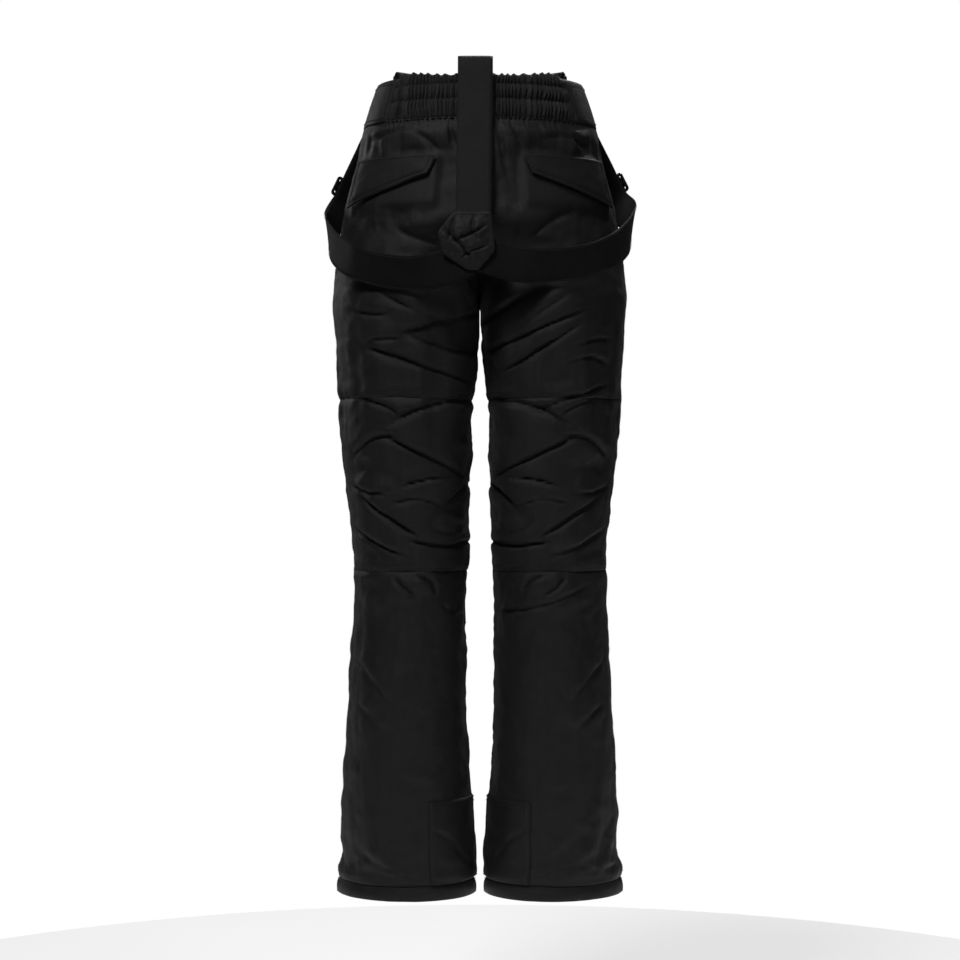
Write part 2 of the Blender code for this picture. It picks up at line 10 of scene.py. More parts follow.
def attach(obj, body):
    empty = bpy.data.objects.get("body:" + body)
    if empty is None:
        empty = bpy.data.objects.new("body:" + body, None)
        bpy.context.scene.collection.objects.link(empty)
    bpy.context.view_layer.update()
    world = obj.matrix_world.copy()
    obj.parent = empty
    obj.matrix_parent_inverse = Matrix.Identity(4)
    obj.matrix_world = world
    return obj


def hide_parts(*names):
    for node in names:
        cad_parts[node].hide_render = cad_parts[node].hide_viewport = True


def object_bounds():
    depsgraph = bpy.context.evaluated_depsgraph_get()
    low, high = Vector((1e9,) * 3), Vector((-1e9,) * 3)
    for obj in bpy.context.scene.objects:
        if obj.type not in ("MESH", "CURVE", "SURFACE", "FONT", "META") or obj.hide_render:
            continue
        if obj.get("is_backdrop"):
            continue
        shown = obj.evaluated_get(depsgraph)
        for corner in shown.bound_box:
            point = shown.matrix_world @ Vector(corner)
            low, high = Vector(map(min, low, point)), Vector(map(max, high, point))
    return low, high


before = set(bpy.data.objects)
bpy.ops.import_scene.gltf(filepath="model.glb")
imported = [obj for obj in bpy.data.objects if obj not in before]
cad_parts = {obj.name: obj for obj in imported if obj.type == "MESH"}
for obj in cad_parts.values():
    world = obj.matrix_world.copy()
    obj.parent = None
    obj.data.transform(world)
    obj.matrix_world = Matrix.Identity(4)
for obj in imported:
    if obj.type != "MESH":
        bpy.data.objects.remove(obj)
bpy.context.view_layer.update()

# ---------------------------------------------------------------- the garment's own measures
BAND_LOW = -0.054
RISE_START = -0.175
CROTCH = -0.285
THIGH_SEAM = -0.403
FRONT_KNEE_TOP = -0.460
CALF_SEAM = -0.622
FRONT_KNEE_LOW = -0.700
HEM_SEAM = -1.023
HEM = -1.042
STATIONS = np.array((
    (0.000, 0.132, 0.0005, 0.099, 0.097),
    (-0.055, 0.150, 0.0005, 0.104, 0.098),
    (-0.110, 0.167, 0.0005, 0.113, 0.098),
    (-0.170, 0.183, 0.0005, 0.122, 0.098),
    (-0.230, 0.192, 0.0005, 0.124, 0.098),
    (-0.285, 0.1955, 0.0022, 0.117, 0.095),
    (-0.406, 0.185, 0.0104, 0.100, 0.088),
    (-0.510, 0.174, 0.0118, 0.088, 0.084),
    (-0.590, 0.165, 0.0145, 0.082, 0.082),
    (-0.660, 0.164, 0.0168, 0.080, 0.079),
    (-0.790, 0.171, 0.0176, 0.084, 0.078),
    (-0.900, 0.177, 0.0130, 0.087, 0.083),
    (-1.042, 0.184, 0.0072, 0.090, 0.090),
))
SIDES = ((1, "left"), (-1, "right"))


def stations(z):
    """Half width, inner edge, depth behind and in front, at each height."""
    knots = STATIONS[:, 0]
    z = np.clip(z, knots[-1], knots[0])
    last = len(knots) - 1
    i = np.clip(np.searchsorted(-knots, -z, side="right") - 1, 0, last - 1)
    top, low = STATIONS[i], STATIONS[i + 1]
    above, below = STATIONS[np.maximum(i - 1, 0)], STATIONS[np.minimum(i + 2, last)]
    span = low[..., :1] - top[..., :1]
    share = (z[..., None] - top[..., :1]) / span
    lead = (low - above) / (low[..., :1] - above[..., :1]) * span
    trail = (below - top) / (below[..., :1] - top[..., :1]) * span
    a = 2 * top - 2 * low + lead + trail
    b = -3 * top + 3 * low - 2 * lead - trail
    value = ((a * share + b) * share + lead) * share + top
    return value[..., 1], value[..., 2], value[..., 3], value[..., 4]


def step_between(low, high, value):
    share = np.clip((value - low) / (high - low), 0.0, 1.0)
    return share * share * (3 - 2 * share)


def body(side, face, t, z):
    """Points of the garment; t runs from the side seam, 0, to the centre seam or inseam, 1."""
    t, z = np.broadcast_arrays(np.asarray(t, float), np.asarray(z, float))
    outer, inner, back, front = stations(z)
    deep = back if face > 0 else front
    w = step_between(-RISE_START, -CROTCH, -z)
    inner = inner * w
    middle, half = (outer + inner) / 2, (outer - inner) / 2
    x = outer * np.cos(np.pi * t / 2) * (1 - w) + (middle + half * np.cos(np.pi * t)) * w
    y = deep * (np.sin(np.pi * t / 2) * (1 - w) + np.sin(np.pi * t) * w)
    return np.stack((side * x, face * y, z), -1)


def normals_of(side, face, t, z, step=1e-3):
    t, z = np.broadcast_arrays(np.asarray(t, float), np.asarray(z, float))
    a = body(side, face, np.minimum(1, t + step), z) - body(side, face, np.maximum(0, t - step), z)
    b = body(side, face, t, z + step) - body(side, face, t, z - step)
    normal = np.cross(a, b) * (side * face)
    return normal / np.linalg.norm(normal, axis=-1, keepdims=True)


def on_body(side, face, t, z, out):
    points = body(side, face, t, z)
    return points + normals_of(side, face, t, z) * np.asarray(out)[..., None]


def leg_points(side, turn, z, out):
    """Points round one leg: turn 0 is the outer seam, a quarter turn is behind."""
    turn, z, out = np.broadcast_arrays(np.asarray(turn, float), np.asarray(z, float), np.asarray(out, float))
    outer, inner, back, front = stations(z)
    deep = np.where(np.sin(turn) > 0, back, front)
    middle, half = (outer + inner) / 2, (outer - inner) / 2
    nx, ny = np.cos(turn) / half, np.sin(turn) / deep
    long = np.hypot(nx, ny)
    x = middle + half * np.cos(turn) + nx / long * out
    y = deep * np.sin(turn) + ny / long * out
    return np.stack((side * x, y, z), -1)


def rough(points, scale, seed=0.0, octaves=3):
    """Smooth repeatable noise at each point, about -1 to 1."""
    flat = np.asarray(points, float).reshape(-1, 3) * scale + seed
    values = [noise.fractal(Vector(p), 1.0, 2.0, octaves) for p in flat]
    return np.array(values).reshape(np.asarray(points).shape[:-1])


# ---------------------------------------------------------------- materials
def shader_of(name):
    made = bpy.data.materials.new(name)
    made.use_nodes = True
    return made, made.node_tree.nodes, made.node_tree.links, made.node_tree.nodes["Principled BSDF"]


def add_node(nodes, kind, **inputs):
    """A shader node with some inputs set; an underscore stands for the space in an input's name."""
    made = nodes.new("ShaderNode" + kind)
    for name, value in inputs.items():
        made.inputs[name.replace("_", " ")].default_value = value
    return made


def add_math(nodes, links, operation, *values):
    """The output of a math node whose inputs are numbers or other nodes' outputs."""
    made = nodes.new("ShaderNodeMath")
    made.operation = operation
    for k, value in enumerate(values):
        if isinstance(value, float):
            made.inputs[k].default_value = value
        else:
            links.new(value, made.inputs[k])
    return made.outputs[0]


def mottled(name, grain, spread, colours, gloss):
    """A material whose colour and gloss follow one noise, each between two ends."""
    made, nodes, links, shader = shader_of(name)
    where = nodes.new("ShaderNodeTexCoord")
    mottle = add_node(nodes, "TexNoise", **grain)
    links.new(where.outputs["Object"], mottle.inputs["Vector"])
    ramp = nodes.new("ShaderNodeValToRGB")
    for end, position, colour in zip(ramp.color_ramp.elements, spread, colours):
        end.position = position
        end.color = (*colour, 1)
    links.new(mottle.outputs["Fac"], ramp.inputs["Fac"])
    links.new(ramp.outputs["Color"], shader.inputs["Base Color"])
    shine = add_node(nodes, "MapRange", To_Min=gloss[0], To_Max=gloss[1])
    links.new(mottle.outputs["Fac"], shine.inputs["Value"])
    links.new(shine.outputs["Result"], shader.inputs["Roughness"])
    return made, nodes, links, shader, where, mottle


def add_bump(nodes, links, shader, height, strength, distance):
    relief = add_node(nodes, "Bump", Strength=strength, Distance=distance)
    links.new(height, relief.inputs["Height"])
    links.new(relief.outputs["Normal"], shader.inputs["Normal"])


WAVE_FIT = 0.31  # a wave texture's scale times its pitch, in metres


def bands(nodes, links, where, direction, pitch, **inputs):
    """Soft parallel bands across the cloth's own run lengths."""
    wave = add_node(nodes, "TexWave", Scale=WAVE_FIT / pitch, **inputs)
    wave.bands_direction = direction
    links.new(where.outputs["UV"], wave.inputs["Vector"])
    return wave.outputs["Fac"]


def cloth_material(name, dark, light, roughness, weave, bump, sheen=0.25, ribs=0.0, rib_pitch=0.003):
    """Woven cloth: mottled colour, fine crossed threads, and ribs across the webbing where it has them."""
    grain = {"Scale": 38.0, "Detail": 8.0, "Roughness": 0.65}
    gloss = (roughness - 0.06, roughness + 0.07)
    made, nodes, links, shader, where, _ = mottled(name, grain, (0.32, 0.72), (dark, light), gloss)
    shader.inputs["Sheen Weight"].default_value = sheen
    shader.inputs["Sheen Roughness"].default_value = 0.45
    shader.inputs["Specular IOR Level"].default_value = 0.26
    warp, weft = (bands(nodes, links, where, way, weave, Distortion=0.8, Detail=1.0) for way in "XY")
    threads = add_math(nodes, links, "MULTIPLY", warp, weft)
    fuzz = add_node(nodes, "TexNoise", Scale=420.0, Detail=4.0)
    links.new(where.outputs["Object"], fuzz.inputs["Vector"])
    height = add_math(nodes, links, "MULTIPLY_ADD", fuzz.outputs["Fac"], 0.6, threads)
    if ribs:
        rib = bands(nodes, links, where, "Y", rib_pitch, Distortion=0.3)
        height = add_math(nodes, links, "MULTIPLY_ADD", rib, ribs, height)
    add_bump(nodes, links, shader, height, bump, 0.0006)
    return made


def hard_material(name, colour, roughness, metallic, wear=0.12):
    """Cast metal or moulded plastic with fine scuffs and uneven gloss."""
    ends = [c * (1 - wear) for c in colour], [min(1, c * (1 + wear)) for c in colour]
    gloss = (roughness - 0.07, roughness + 0.10)
    grain = {"Scale": 650.0, "Detail": 6.0}
    made, nodes, links, shader, _, scuff = mottled(name, grain, (0.35, 0.75), ends, gloss)
    shader.inputs["Metallic"].default_value = metallic
    add_bump(nodes, links, shader, scuff.outputs["Fac"], 0.15, 0.0002)
    return made


def grey(level, blue):
    """A near-black grey with a little more blue."""
    return level, level, blue


SHELL = cloth_material("shell_cloth", grey(0.0062, 0.0066), grey(0.0105, 0.0112), 0.52, 0.0007, 0.35, 0.05)
LINING = cloth_material("lining_cloth", grey(0.010, 0.011), grey(0.016, 0.018), 0.50, 0.0009, 0.25, 0.05)
ELASTIC = cloth_material("elastic_cloth", grey(0.0075, 0.008), grey(0.0125, 0.0135), 0.60, 0.0008, 0.40, 0.07)
SCUFF = cloth_material("scuff_cloth", grey(0.0055, 0.006), grey(0.0090, 0.0096), 0.44, 0.0013, 0.6, 0.03)
TAPE = cloth_material("zip_tape_cloth", grey(0.0055, 0.006), grey(0.0095, 0.010), 0.66, 0.0008, 0.45, 0.06)
GAITER = cloth_material("gaiter_cloth", grey(0.008, 0.0085), grey(0.013, 0.014), 0.48, 0.0006, 0.3, 0.05)
THREAD = cloth_material("sewing_thread", grey(0.010, 0.011), grey(0.018, 0.019), 0.50, 0.0004, 0.3, 0.08)
RIBS = {"weave": 0.0009, "bump": 0.50, "ribs": 0.5, "rib_pitch": 0.0021}
WEBBING = cloth_material("ribbed_webbing", grey(0.0052, 0.0056), grey(0.0105, 0.0112), 0.62, sheen=0.05, **RIBS)
# The braces' straps take a darker copy of the ribbed webbing's colour: painted shade for the straps'
# downward-facing rear faces, not a darker cloth.
SHADED_STRAP = cloth_material("strap_elastic", grey(0.0030, 0.0033), grey(0.0066, 0.0071), 0.66, sheen=0.04, **RIBS)
SHADED_STRAP.node_tree.nodes["Principled BSDF"].inputs["Specular IOR Level"].default_value = 0.12
METAL = hard_material("gunmetal", grey(0.22, 0.23), 0.30, 1.0)
COIL = hard_material("zip_coil", grey(0.010, 0.011), 0.34, 0.0)
PLASTIC = hard_material("moulded_plastic", grey(0.010, 0.011), 0.40, 0.0)


# ---------------------------------------------------------------- mesh helpers
def add_object(name, verts, faces, materials, uvs=None, face_slots=None):
    data = bpy.data.meshes.new(name)
    data.from_pydata([tuple(v) for v in verts], [], faces)
    if uvs is not None:
        layer = data.uv_layers.new(name="run")
        index = np.empty(len(data.loops), dtype=np.int64)
        data.loops.foreach_get("vertex_index", index)
        layer.data.foreach_set("uv", np.asarray(uvs)[index].ravel())
    for material in materials:
        data.materials.append(material)
    if face_slots is not None:
        data.polygons.foreach_set("material_index", face_slots)
    data.polygons.foreach_set("use_smooth", [True] * len(data.polygons))
    data.update()
    made = bpy.data.objects.new(name, data)
    bpy.context.scene.collection.objects.link(made)
    return made


def fair_normals(made):
    work = bmesh.new()
    work.from_mesh(made.data)
    bmesh.ops.recalc_face_normals(work, faces=work.faces)
    work.to_mesh(made.data)
    work.free()


def lengths_along(points, axis):
    gaps = np.linalg.norm(np.diff(points, axis=axis), axis=-1)
    start = np.zeros_like(np.take(gaps, [0], axis=axis))
    return np.concatenate((start, np.cumsum(gaps, axis=axis)), axis=axis)


def wall(name, outer, inner, materials, ring=False, inner_slot=1):
    """A closed cloth wall between two grids of points, with run lengths in metres as its UVs."""
    rows, count = outer.shape[:2]
    u = lengths_along(outer, 1)
    v = lengths_along(outer, 0)
    uv = np.stack((u, v), -1).reshape(-1, 2)
    verts = np.concatenate((outer.reshape(-1, 3), inner.reshape(-1, 3)))
    size = rows * count
    faces, slots = [], []
    columns = count if ring else count - 1
    for base, slot in ((0, 0), (size, inner_slot)):
        for i in range(rows - 1):
            for j in range(columns):
                k = (j + 1) % count
                a, b = base + i * count, base + (i + 1) * count
                quad = (a + j, a + k, b + k, b + j)
                faces.append(quad if base == 0 else quad[::-1])
                slots.append(slot)
    for i in (0, rows - 1):
        for j in range(columns):
            k = (j + 1) % count
            a, b = i * count + j, i * count + k
            quad = (a, b, b + size, a + size)
            faces.append(quad[::-1] if i == 0 else quad)
            slots.append(0)
    if not ring:
        for j in (0, count - 1):
            for i in range(rows - 1):
                a, b = i * count + j, (i + 1) * count + j
                quad = (a, b, b + size, a + size)
                faces.append(quad if j == 0 else quad[::-1])
                slots.append(0)
    made = add_object(name, verts, faces, materials, np.concatenate((uv, uv)), slots)
    fair_normals(made)
    return made


STITCHES = []


def stitch_line(points, normals, pitch=0.0034, long=0.0024, radius=0.00032, lift=0.0002):
    """A run of thread stitches lying on the cloth along a line of points."""
    points, normals = np.asarray(points), np.asarray(normals)
    run = lengths_along(points[None], 1)[0]
    marks = np.arange(pitch, run[-1] - pitch / 2, pitch)
    for mark in marks:
        ends = []
        for place in (mark - long / 2, mark, mark + long / 2):
            ends.append([np.interp(place, run, points[:, k]) for k in range(3)])
        up = np.array([np.interp(mark, run, normals[:, k]) for k in range(3)])
        STITCHES.append((np.array(ends), up / np.linalg.norm(up), radius, lift))


def sew(name, ride_on="garment"):
    """Every waiting stitch as one piece."""
    verts, faces = [], []
    for ends, up, radius, lift in STITCHES:
        along = ends[2] - ends[0]
        along /= np.linalg.norm(along)
        across = np.cross(along, up)
        first = len(verts)
        for k, (point, rise, fat) in enumerate(zip(ends, (-0.2, 1.0, -0.2), (0.6, 1.0, 0.6))):
            centre = point + up * (lift + rise * radius)
            for turn in range(5):
                angle = 2 * math.pi * turn / 5
                verts.append(centre + (across * math.cos(angle) + up * math.sin(angle)) * radius * fat)
        for k in range(2):
            for turn in range(5):
                a, b = first + k * 5 + turn, first + k * 5 + (turn + 1) % 5
                faces.append((a, b, b + 5, a + 5))
        faces.append(tuple(first + turn for turn in range(4, -1, -1)))
        faces.append(tuple(first + 10 + turn for turn in range(5)))
    made = add_object(name, verts, faces, [THREAD])
    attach(made, ride_on)
    STITCHES.clear()


# ---------------------------------------------------------------- folds of the shell
def along_stroke(x, z, points, samples=16):
    """Signed distance to a smooth stroke and the share of the way along it, for points of a plane."""
    points = [np.array(p, float) for p in points]
    share = np.linspace(0, 1, samples)[:, None]
    bend = 2 * points[1] - (points[0] + points[2]) / 2
    line = (1 - share) ** 2 * points[0] + 2 * share * (1 - share) * bend + share**2 * points[2]
    best = np.full(x.shape, 9.0)
    signed = np.zeros(x.shape)
    where = np.zeros(x.shape)
    for k in range(samples - 1):
        a, ab = line[k], line[k + 1] - line[k]
        u = np.clip(((x - a[0]) * ab[0] + (z - a[1]) * ab[1]) / (ab @ ab), 0, 1)
        dx, dz = x - a[0] - u * ab[0], z - a[1] - u * ab[1]
        far = np.hypot(dx, dz)
        closer = far < best
        best = np.where(closer, far, best)
        signed = np.where(closer, far * np.where(dz >= 0, 1.0, -1.0), signed)
        where = np.where(closer, (k + u) / (samples - 1), where)
    return signed, where


def crease(x, z, stroke):
    """A pressed line with a roll of cloth above it and another below, fading at both ends."""
    points, valley, above, wide_above, below, wide_below = stroke
    d, share = along_stroke(x, z, points)
    fade = step_between(0.0, 0.28, share) * (1 - step_between(0.72, 1.0, share))
    fade = fade * (1 - step_between(0.030, 0.055, np.abs(d)))
    up, low = np.maximum(d, 0) / wide_above, np.maximum(-d, 0) / wide_below
    shape = above * up * np.exp(1 - up) + below * low * np.exp(1 - low)
    return fade * (shape - 1.35 * valley * np.exp(-((d / 0.0024) ** 2)))


def in_metres(folds):
    """Folds in metres. Each: its line across the cloth, its crease's depth, then the height and reach of
    the roll above it and of the one below."""
    made = []
    for line, *measures in folds:
        made.append((tuple((x / 1000, z / 1000) for x, z in line), *(value / 1000 for value in measures)))
    return tuple(made)


KNEE_FOLDS = in_metres((
    (((160, -402), (120, -414), (104, -428)), 1.4, 3, 8, 1.2, 8),
    (((10, -406), (68, -413), (128, -446)), 2, 1.6, 7, 5, 14),
    (((128, -448), (74, -474), (10, -508)), 2.2, 5, 13, 2.2, 9),
    (((164, -480), (138, -455), (98, -450)), 1.8, 3, 9, 2.4, 9),
    (((106, -518), (72, -505), (28, -501)), 2, 2, 8, 4.2, 11),
    (((50, -540), (28, -520), (8, -508)), 2, 3.4, 9, 1.6, 8),
    (((118, -540), (84, -530), (44, -541)), 1.2, 2.6, 9, 3, 9),
    (((168, -510), (142, -522), (112, -519)), 1.4, 2.8, 8, 1.6, 8),
    (((158, -520), (118, -552), (68, -582)), 2, 3.8, 10, 3, 10),
    (((98, -580), (50, -588), (6, -583)), 2.4, 4.2, 10, 3.4, 9),
    (((70, -556), (45, -572), (16, -560)), 1.2, 2.6, 8, 1.8, 8),
    (((166, -562), (130, -587), (86, -602)), 1.2, 2.4, 9, 1, 7),
    (((110, -627), (96, -643), (80, -653)), 1.4, 1.2, 6, 2.4, 7),
    (((88, -627), (66, -633), (54, -652)), 1.4, 1.4, 6, 2.6, 7),
    (((48, -662), (38, -672), (22, -669)), 0.8, 1.4, 6, 0.8, 6),
    (((166, -732), (142, -756), (114, -792)), 0.8, 2.2, 11, 1.4, 10),
    (((160, -790), (140, -806), (116, -830)), 0.6, 1.8, 10, 1.2, 9),
    (((72, -948), (52, -956), (32, -973)), 0.8, 1.8, 8, 1.2, 8),
    (((36, -970), (24, -990), (10, -1014)), 1, 2, 8, 1.2, 8),
    (((160, -975), (120, -996), (80, -1004)), 0.6, 1.6, 10, 1, 9),
))
LEFT_SEAT_FOLDS = in_metres((
    (((108, -326), (54, -309), (0, -290)), 2.6, 4.8, 12, 0.6, 8),
    (((102, -322), (44, -342), (4, -341)), 1.8, 0.4, 6, 4, 11),
    (((156, -336), (90, -360), (4, -384)), 2.2, 2, 8, 4.4, 13),
    (((150, -340), (128, -330), (94, -334)), 1, 2.2, 8, 0.8, 7),
    (((134, -270), (78, -298), (40, -304)), 1.4, 3, 10, 1.6, 9),
    (((168, -290), (140, -300), (104, -296)), 0.8, 2.2, 10, 1.2, 9),
    (((43, -40), (38, -64), (34, -96)), 1.4, 2.2, 8, 2.2, 8),
    (((52, -46), (64, -57), (108, -62)), 1, 2.2, 8, 1.8, 8),
    (((145, -74), (104, -68), (66, -56)), 1.4, 3, 8, 2.4, 8),
    (((68, -38), (59, -56), (44, -80)), 1.6, 2.4, 7, 2, 7),
    (((86, -38), (80, -52), (78, -72)), 1.2, 1.8, 6, 1.6, 6),
    (((128, -40), (122, -52), (106, -62)), 1.2, 1.8, 6, 1.6, 6),
    (((96, -66), (72, -78), (50, -100)), 1, 2.4, 9, 2, 8),
    (((112, -186), (84, -206), (40, -214)), 0.2, 1.8, 14, 1.2, 12),
))
RIGHT_SEAT_FOLDS = in_metres((
    (((4, -312), (34, -290), (64, -270)), 2, 3, 10, 1.4, 8),
    (((6, -345), (66, -322), (150, -288)), 2.4, 4.6, 11, 1.8, 9),
    (((26, -372), (80, -342), (136, -306)), 2.4, 2.6, 8, 5.2, 14),
    (((50, -318), (80, -296), (122, -270)), 1.4, 2.6, 9, 1.6, 8),
    (((84, -356), (128, -337), (176, -330)), 1.4, 2.6, 9, 2, 8),
    (((100, -370), (134, -354), (170, -364)), 1.2, 2.2, 8, 2, 8),
    (((68, -420), (122, -401), (172, -384)), 2, 3.4, 9, 2, 8),
    (((14, -674), (80, -664), (146, -634)), 1, 1.6, 9, 1.2, 8),
    (((17, -36), (22, -64), (38, -140)), 1.6, 2.6, 10, 2.6, 10),
    (((50, -44), (66, -64), (90, -56)), 1.6, 2.8, 8, 2.4, 8),
    (((30, -38), (40, -66), (56, -100)), 1.8, 2.8, 8, 2.4, 8),
    (((67, -38), (70, -58), (80, -86)), 1.4, 2.2, 7, 2, 7),
    (((90, -38), (98, -50), (112, -62)), 1.2, 1.8, 6, 1.6, 6),
    (((102, -48), (116, -73), (140, -86)), 1, 2.2, 8, 1.8, 8),
    (((70, -86), (104, -76), (134, -92)), 0.8, 2, 9, 1.6, 8),
    (((60, -212), (90, -186), (124, -170)), 0.2, 1.8, 14, 1.2, 12),
))
FRONT_FOLDS = in_metres((
    (((4, -300), (50, -316), (112, -350)), 1.8, 4, 12, 2.6, 10),
    (((4, -284), (60, -276), (132, -256)), 1.6, 3.6, 12, 2.4, 10),
    (((8, -250), (44, -236), (84, -212)), 1.2, 2.8, 10, 2, 10),
    (((8, -332), (56, -360), (104, -404)), 1.2, 3, 12, 2.2, 11),
    (((28, -424), (86, -414), (146, -432)), 0.8, 2.6, 12, 2, 11),
    (((20, -530), (82, -548), (144, -528)), 0.8, 2.6, 14, 2.2, 13),
    (((22, -586), (60, -604), (112, -598)), 1.4, 3.2, 12, 2.4, 11),
    (((158, -566), (134, -592), (92, -614)), 1.2, 3, 11, 2.2, 10),
    (((20, -660), (76, -676), (144, -652)), 1.4, 3.4, 12, 2.4, 10),
    (((40, -724), (88, -744), (136, -734)), 0.8, 2.6, 13, 1.8, 11),
    (((48, -800), (100, -822), (150, -806)), 0.4, 1.8, 16, 1.4, 14),
    (((30, -926), (72, -944), (114, -934)), 0.6, 2.2, 12, 1.8, 11),
    (((40, -984), (90, -1004), (138, -990)), 1, 2.6, 10, 1.8, 9),
))


def gather_phase(run):
    """Uneven gathers of the waist: where each pleat falls along the band."""
    points = np.stack((run * 46.0, np.zeros_like(run), np.zeros_like(run)), -1)
    return 2 * np.pi * (run / 0.0056 + 0.85 * rough(points, 1.0, 3.7, 2))


def seam_pinch(far, deep=0.0016, wide=0.0032):
    """A seam pulls the shell in, and the wadding stands up on both sides of it."""
    pulled = -deep * np.exp(-((far / wide) ** 2))
    return pulled + 0.55 * deep * np.exp(-(((np.abs(far) - 0.011) / 0.007) ** 2))


REAR_FOLD_GAIN, FRONT_FOLD_GAIN = 2.0, 1.4


def relief(side, face, t, z, points):
    """How far the folds stand out from the shell's plain form."""
    x = np.abs(points[..., 0])
    out = np.zeros(x.shape)
    strokes = FRONT_FOLDS
    if face > 0:
        strokes = KNEE_FOLDS + (LEFT_SEAT_FOLDS if side > 0 else RIGHT_SEAT_FOLDS)
    for stroke in strokes:
        out += crease(x, z, stroke)
    gain = REAR_FOLD_GAIN if face > 0 else FRONT_FOLD_GAIN
    return out * step_between(-0.02, 0.16, t) * gain


def turned_frame(origin, across, out):
    """A frame whose X runs across, Y points out of the cloth and Z is square to both."""
    origin, across, out = Vector(origin), Vector(across), Vector(out).normalized()
    across = (across - out * across.dot(out)).normalized()
    turn = Matrix((across, out, across.cross(out))).transposed().to_4x4()
    return Matrix.Translation(origin) @ turn


# Zips: the frame at each one's lower end, and its length
POCKET_TOP, POCKET_LOW = (0.56, -0.070), (0.30, -0.196)
ANKLE_TURN = math.radians(-34)
ZIPS = {"fly_zip": (turned_frame((0, -0.099, -0.186), (-1, 0, 0), (0, -1, 0)), 0.125)}
for side, hand in SIDES:
    high = Vector(on_body(side, -1, *POCKET_TOP, 0.0))
    low = Vector(on_body(side, -1, *POCKET_LOW, 0.0))
    out = Vector(normals_of(side, -1, *((a + b) / 2 for a, b in zip(POCKET_TOP, POCKET_LOW))))
    run = (high - low).normalized()
    out = (out - run * out.dot(run)).normalized()
    shares = np.linspace(0, 1, 9)
    ts = POCKET_LOW[0] + (POCKET_TOP[0] - POCKET_LOW[0]) * shares
    zs = POCKET_LOW[1] + (POCKET_TOP[1] - POCKET_LOW[1]) * shares
    proud = max(0.0, float(((body(side, -1, ts, zs) - np.array(low)) @ np.array(out)).max()))
    base = turned_frame(low + out * (proud + 0.0016), out.cross(run), out)
    ZIPS["pocket_zip_" + hand] = (base, (high - low).length)
    low, high = (Vector(leg_points(side, ANKLE_TURN, z, 0.0016)) for z in (-1.036, -0.868))
    run = (high - low).normalized()
    out = Vector(leg_points(side, ANKLE_TURN, -0.95, 0.01) - leg_points(side, ANKLE_TURN, -0.95, 0.0))
    out = (out - run * out.dot(run)).normalized()
    ZIPS["ankle_zip_" + hand] = (turned_frame(low, out.cross(run), out), (high - low).length)


def freedom(side, face, t, z, points):
    """1 where the shell may fold freely, and 0 where a zip, flap, band or hem holds it flat."""
    free = np.ones(t.shape)
    for base, long in ZIPS.values():
        low = np.array(base.translation)
        run = np.array(base.col[2][:3])
        along = np.clip((points - low) @ run, 0, long)
        far = np.linalg.norm(points - low - along[..., None] * run, axis=-1)
        free *= step_between(0.017, 0.036, far)
    free *= step_between(0.004, 0.022, BAND_LOW - z)
    free *= 0.25 + 0.75 * step_between(0.004, 0.030, z - HEM_SEAM)
    if face > 0:
        flap = step_between(0.225, 0.265, t) * (1 - step_between(0.780, 0.820, t))
        flap *= step_between(0.094, 0.104, -z) * (1 - step_between(0.158, 0.176, -z))
        free *= 1 - 0.92 * flap
    guard = step_between(0.58, 0.64, t) * step_between(0.900, 0.920, -z)
    free *= 1 - 0.6 * guard
    return free


SEAM_HEIGHTS = (BAND_LOW, THIGH_SEAM, FRONT_KNEE_TOP, CALF_SEAM, FRONT_KNEE_LOW, HEM_SEAM, HEM)


def heights_with(gap):
    """Row heights that fall on every seam."""
    rows = []
    for high, low in zip(SEAM_HEIGHTS, SEAM_HEIGHTS[1:]):
        count = max(3, round((high - low) / gap))
        rows += [high + (low - high) * k / count for k in range(count)]
    return np.array(rows + [HEM])


COARSE_ROWS, FINE_ROWS = heights_with(0.0064), heights_with(0.0033)
COARSE_TS, FINE_TS = np.linspace(0, 1, 43), np.linspace(0, 1, 85)
QUARTERS = [(side, face) for side in (1, -1) for face in (1, -1)]


MOST_SETTLED = 0.0065


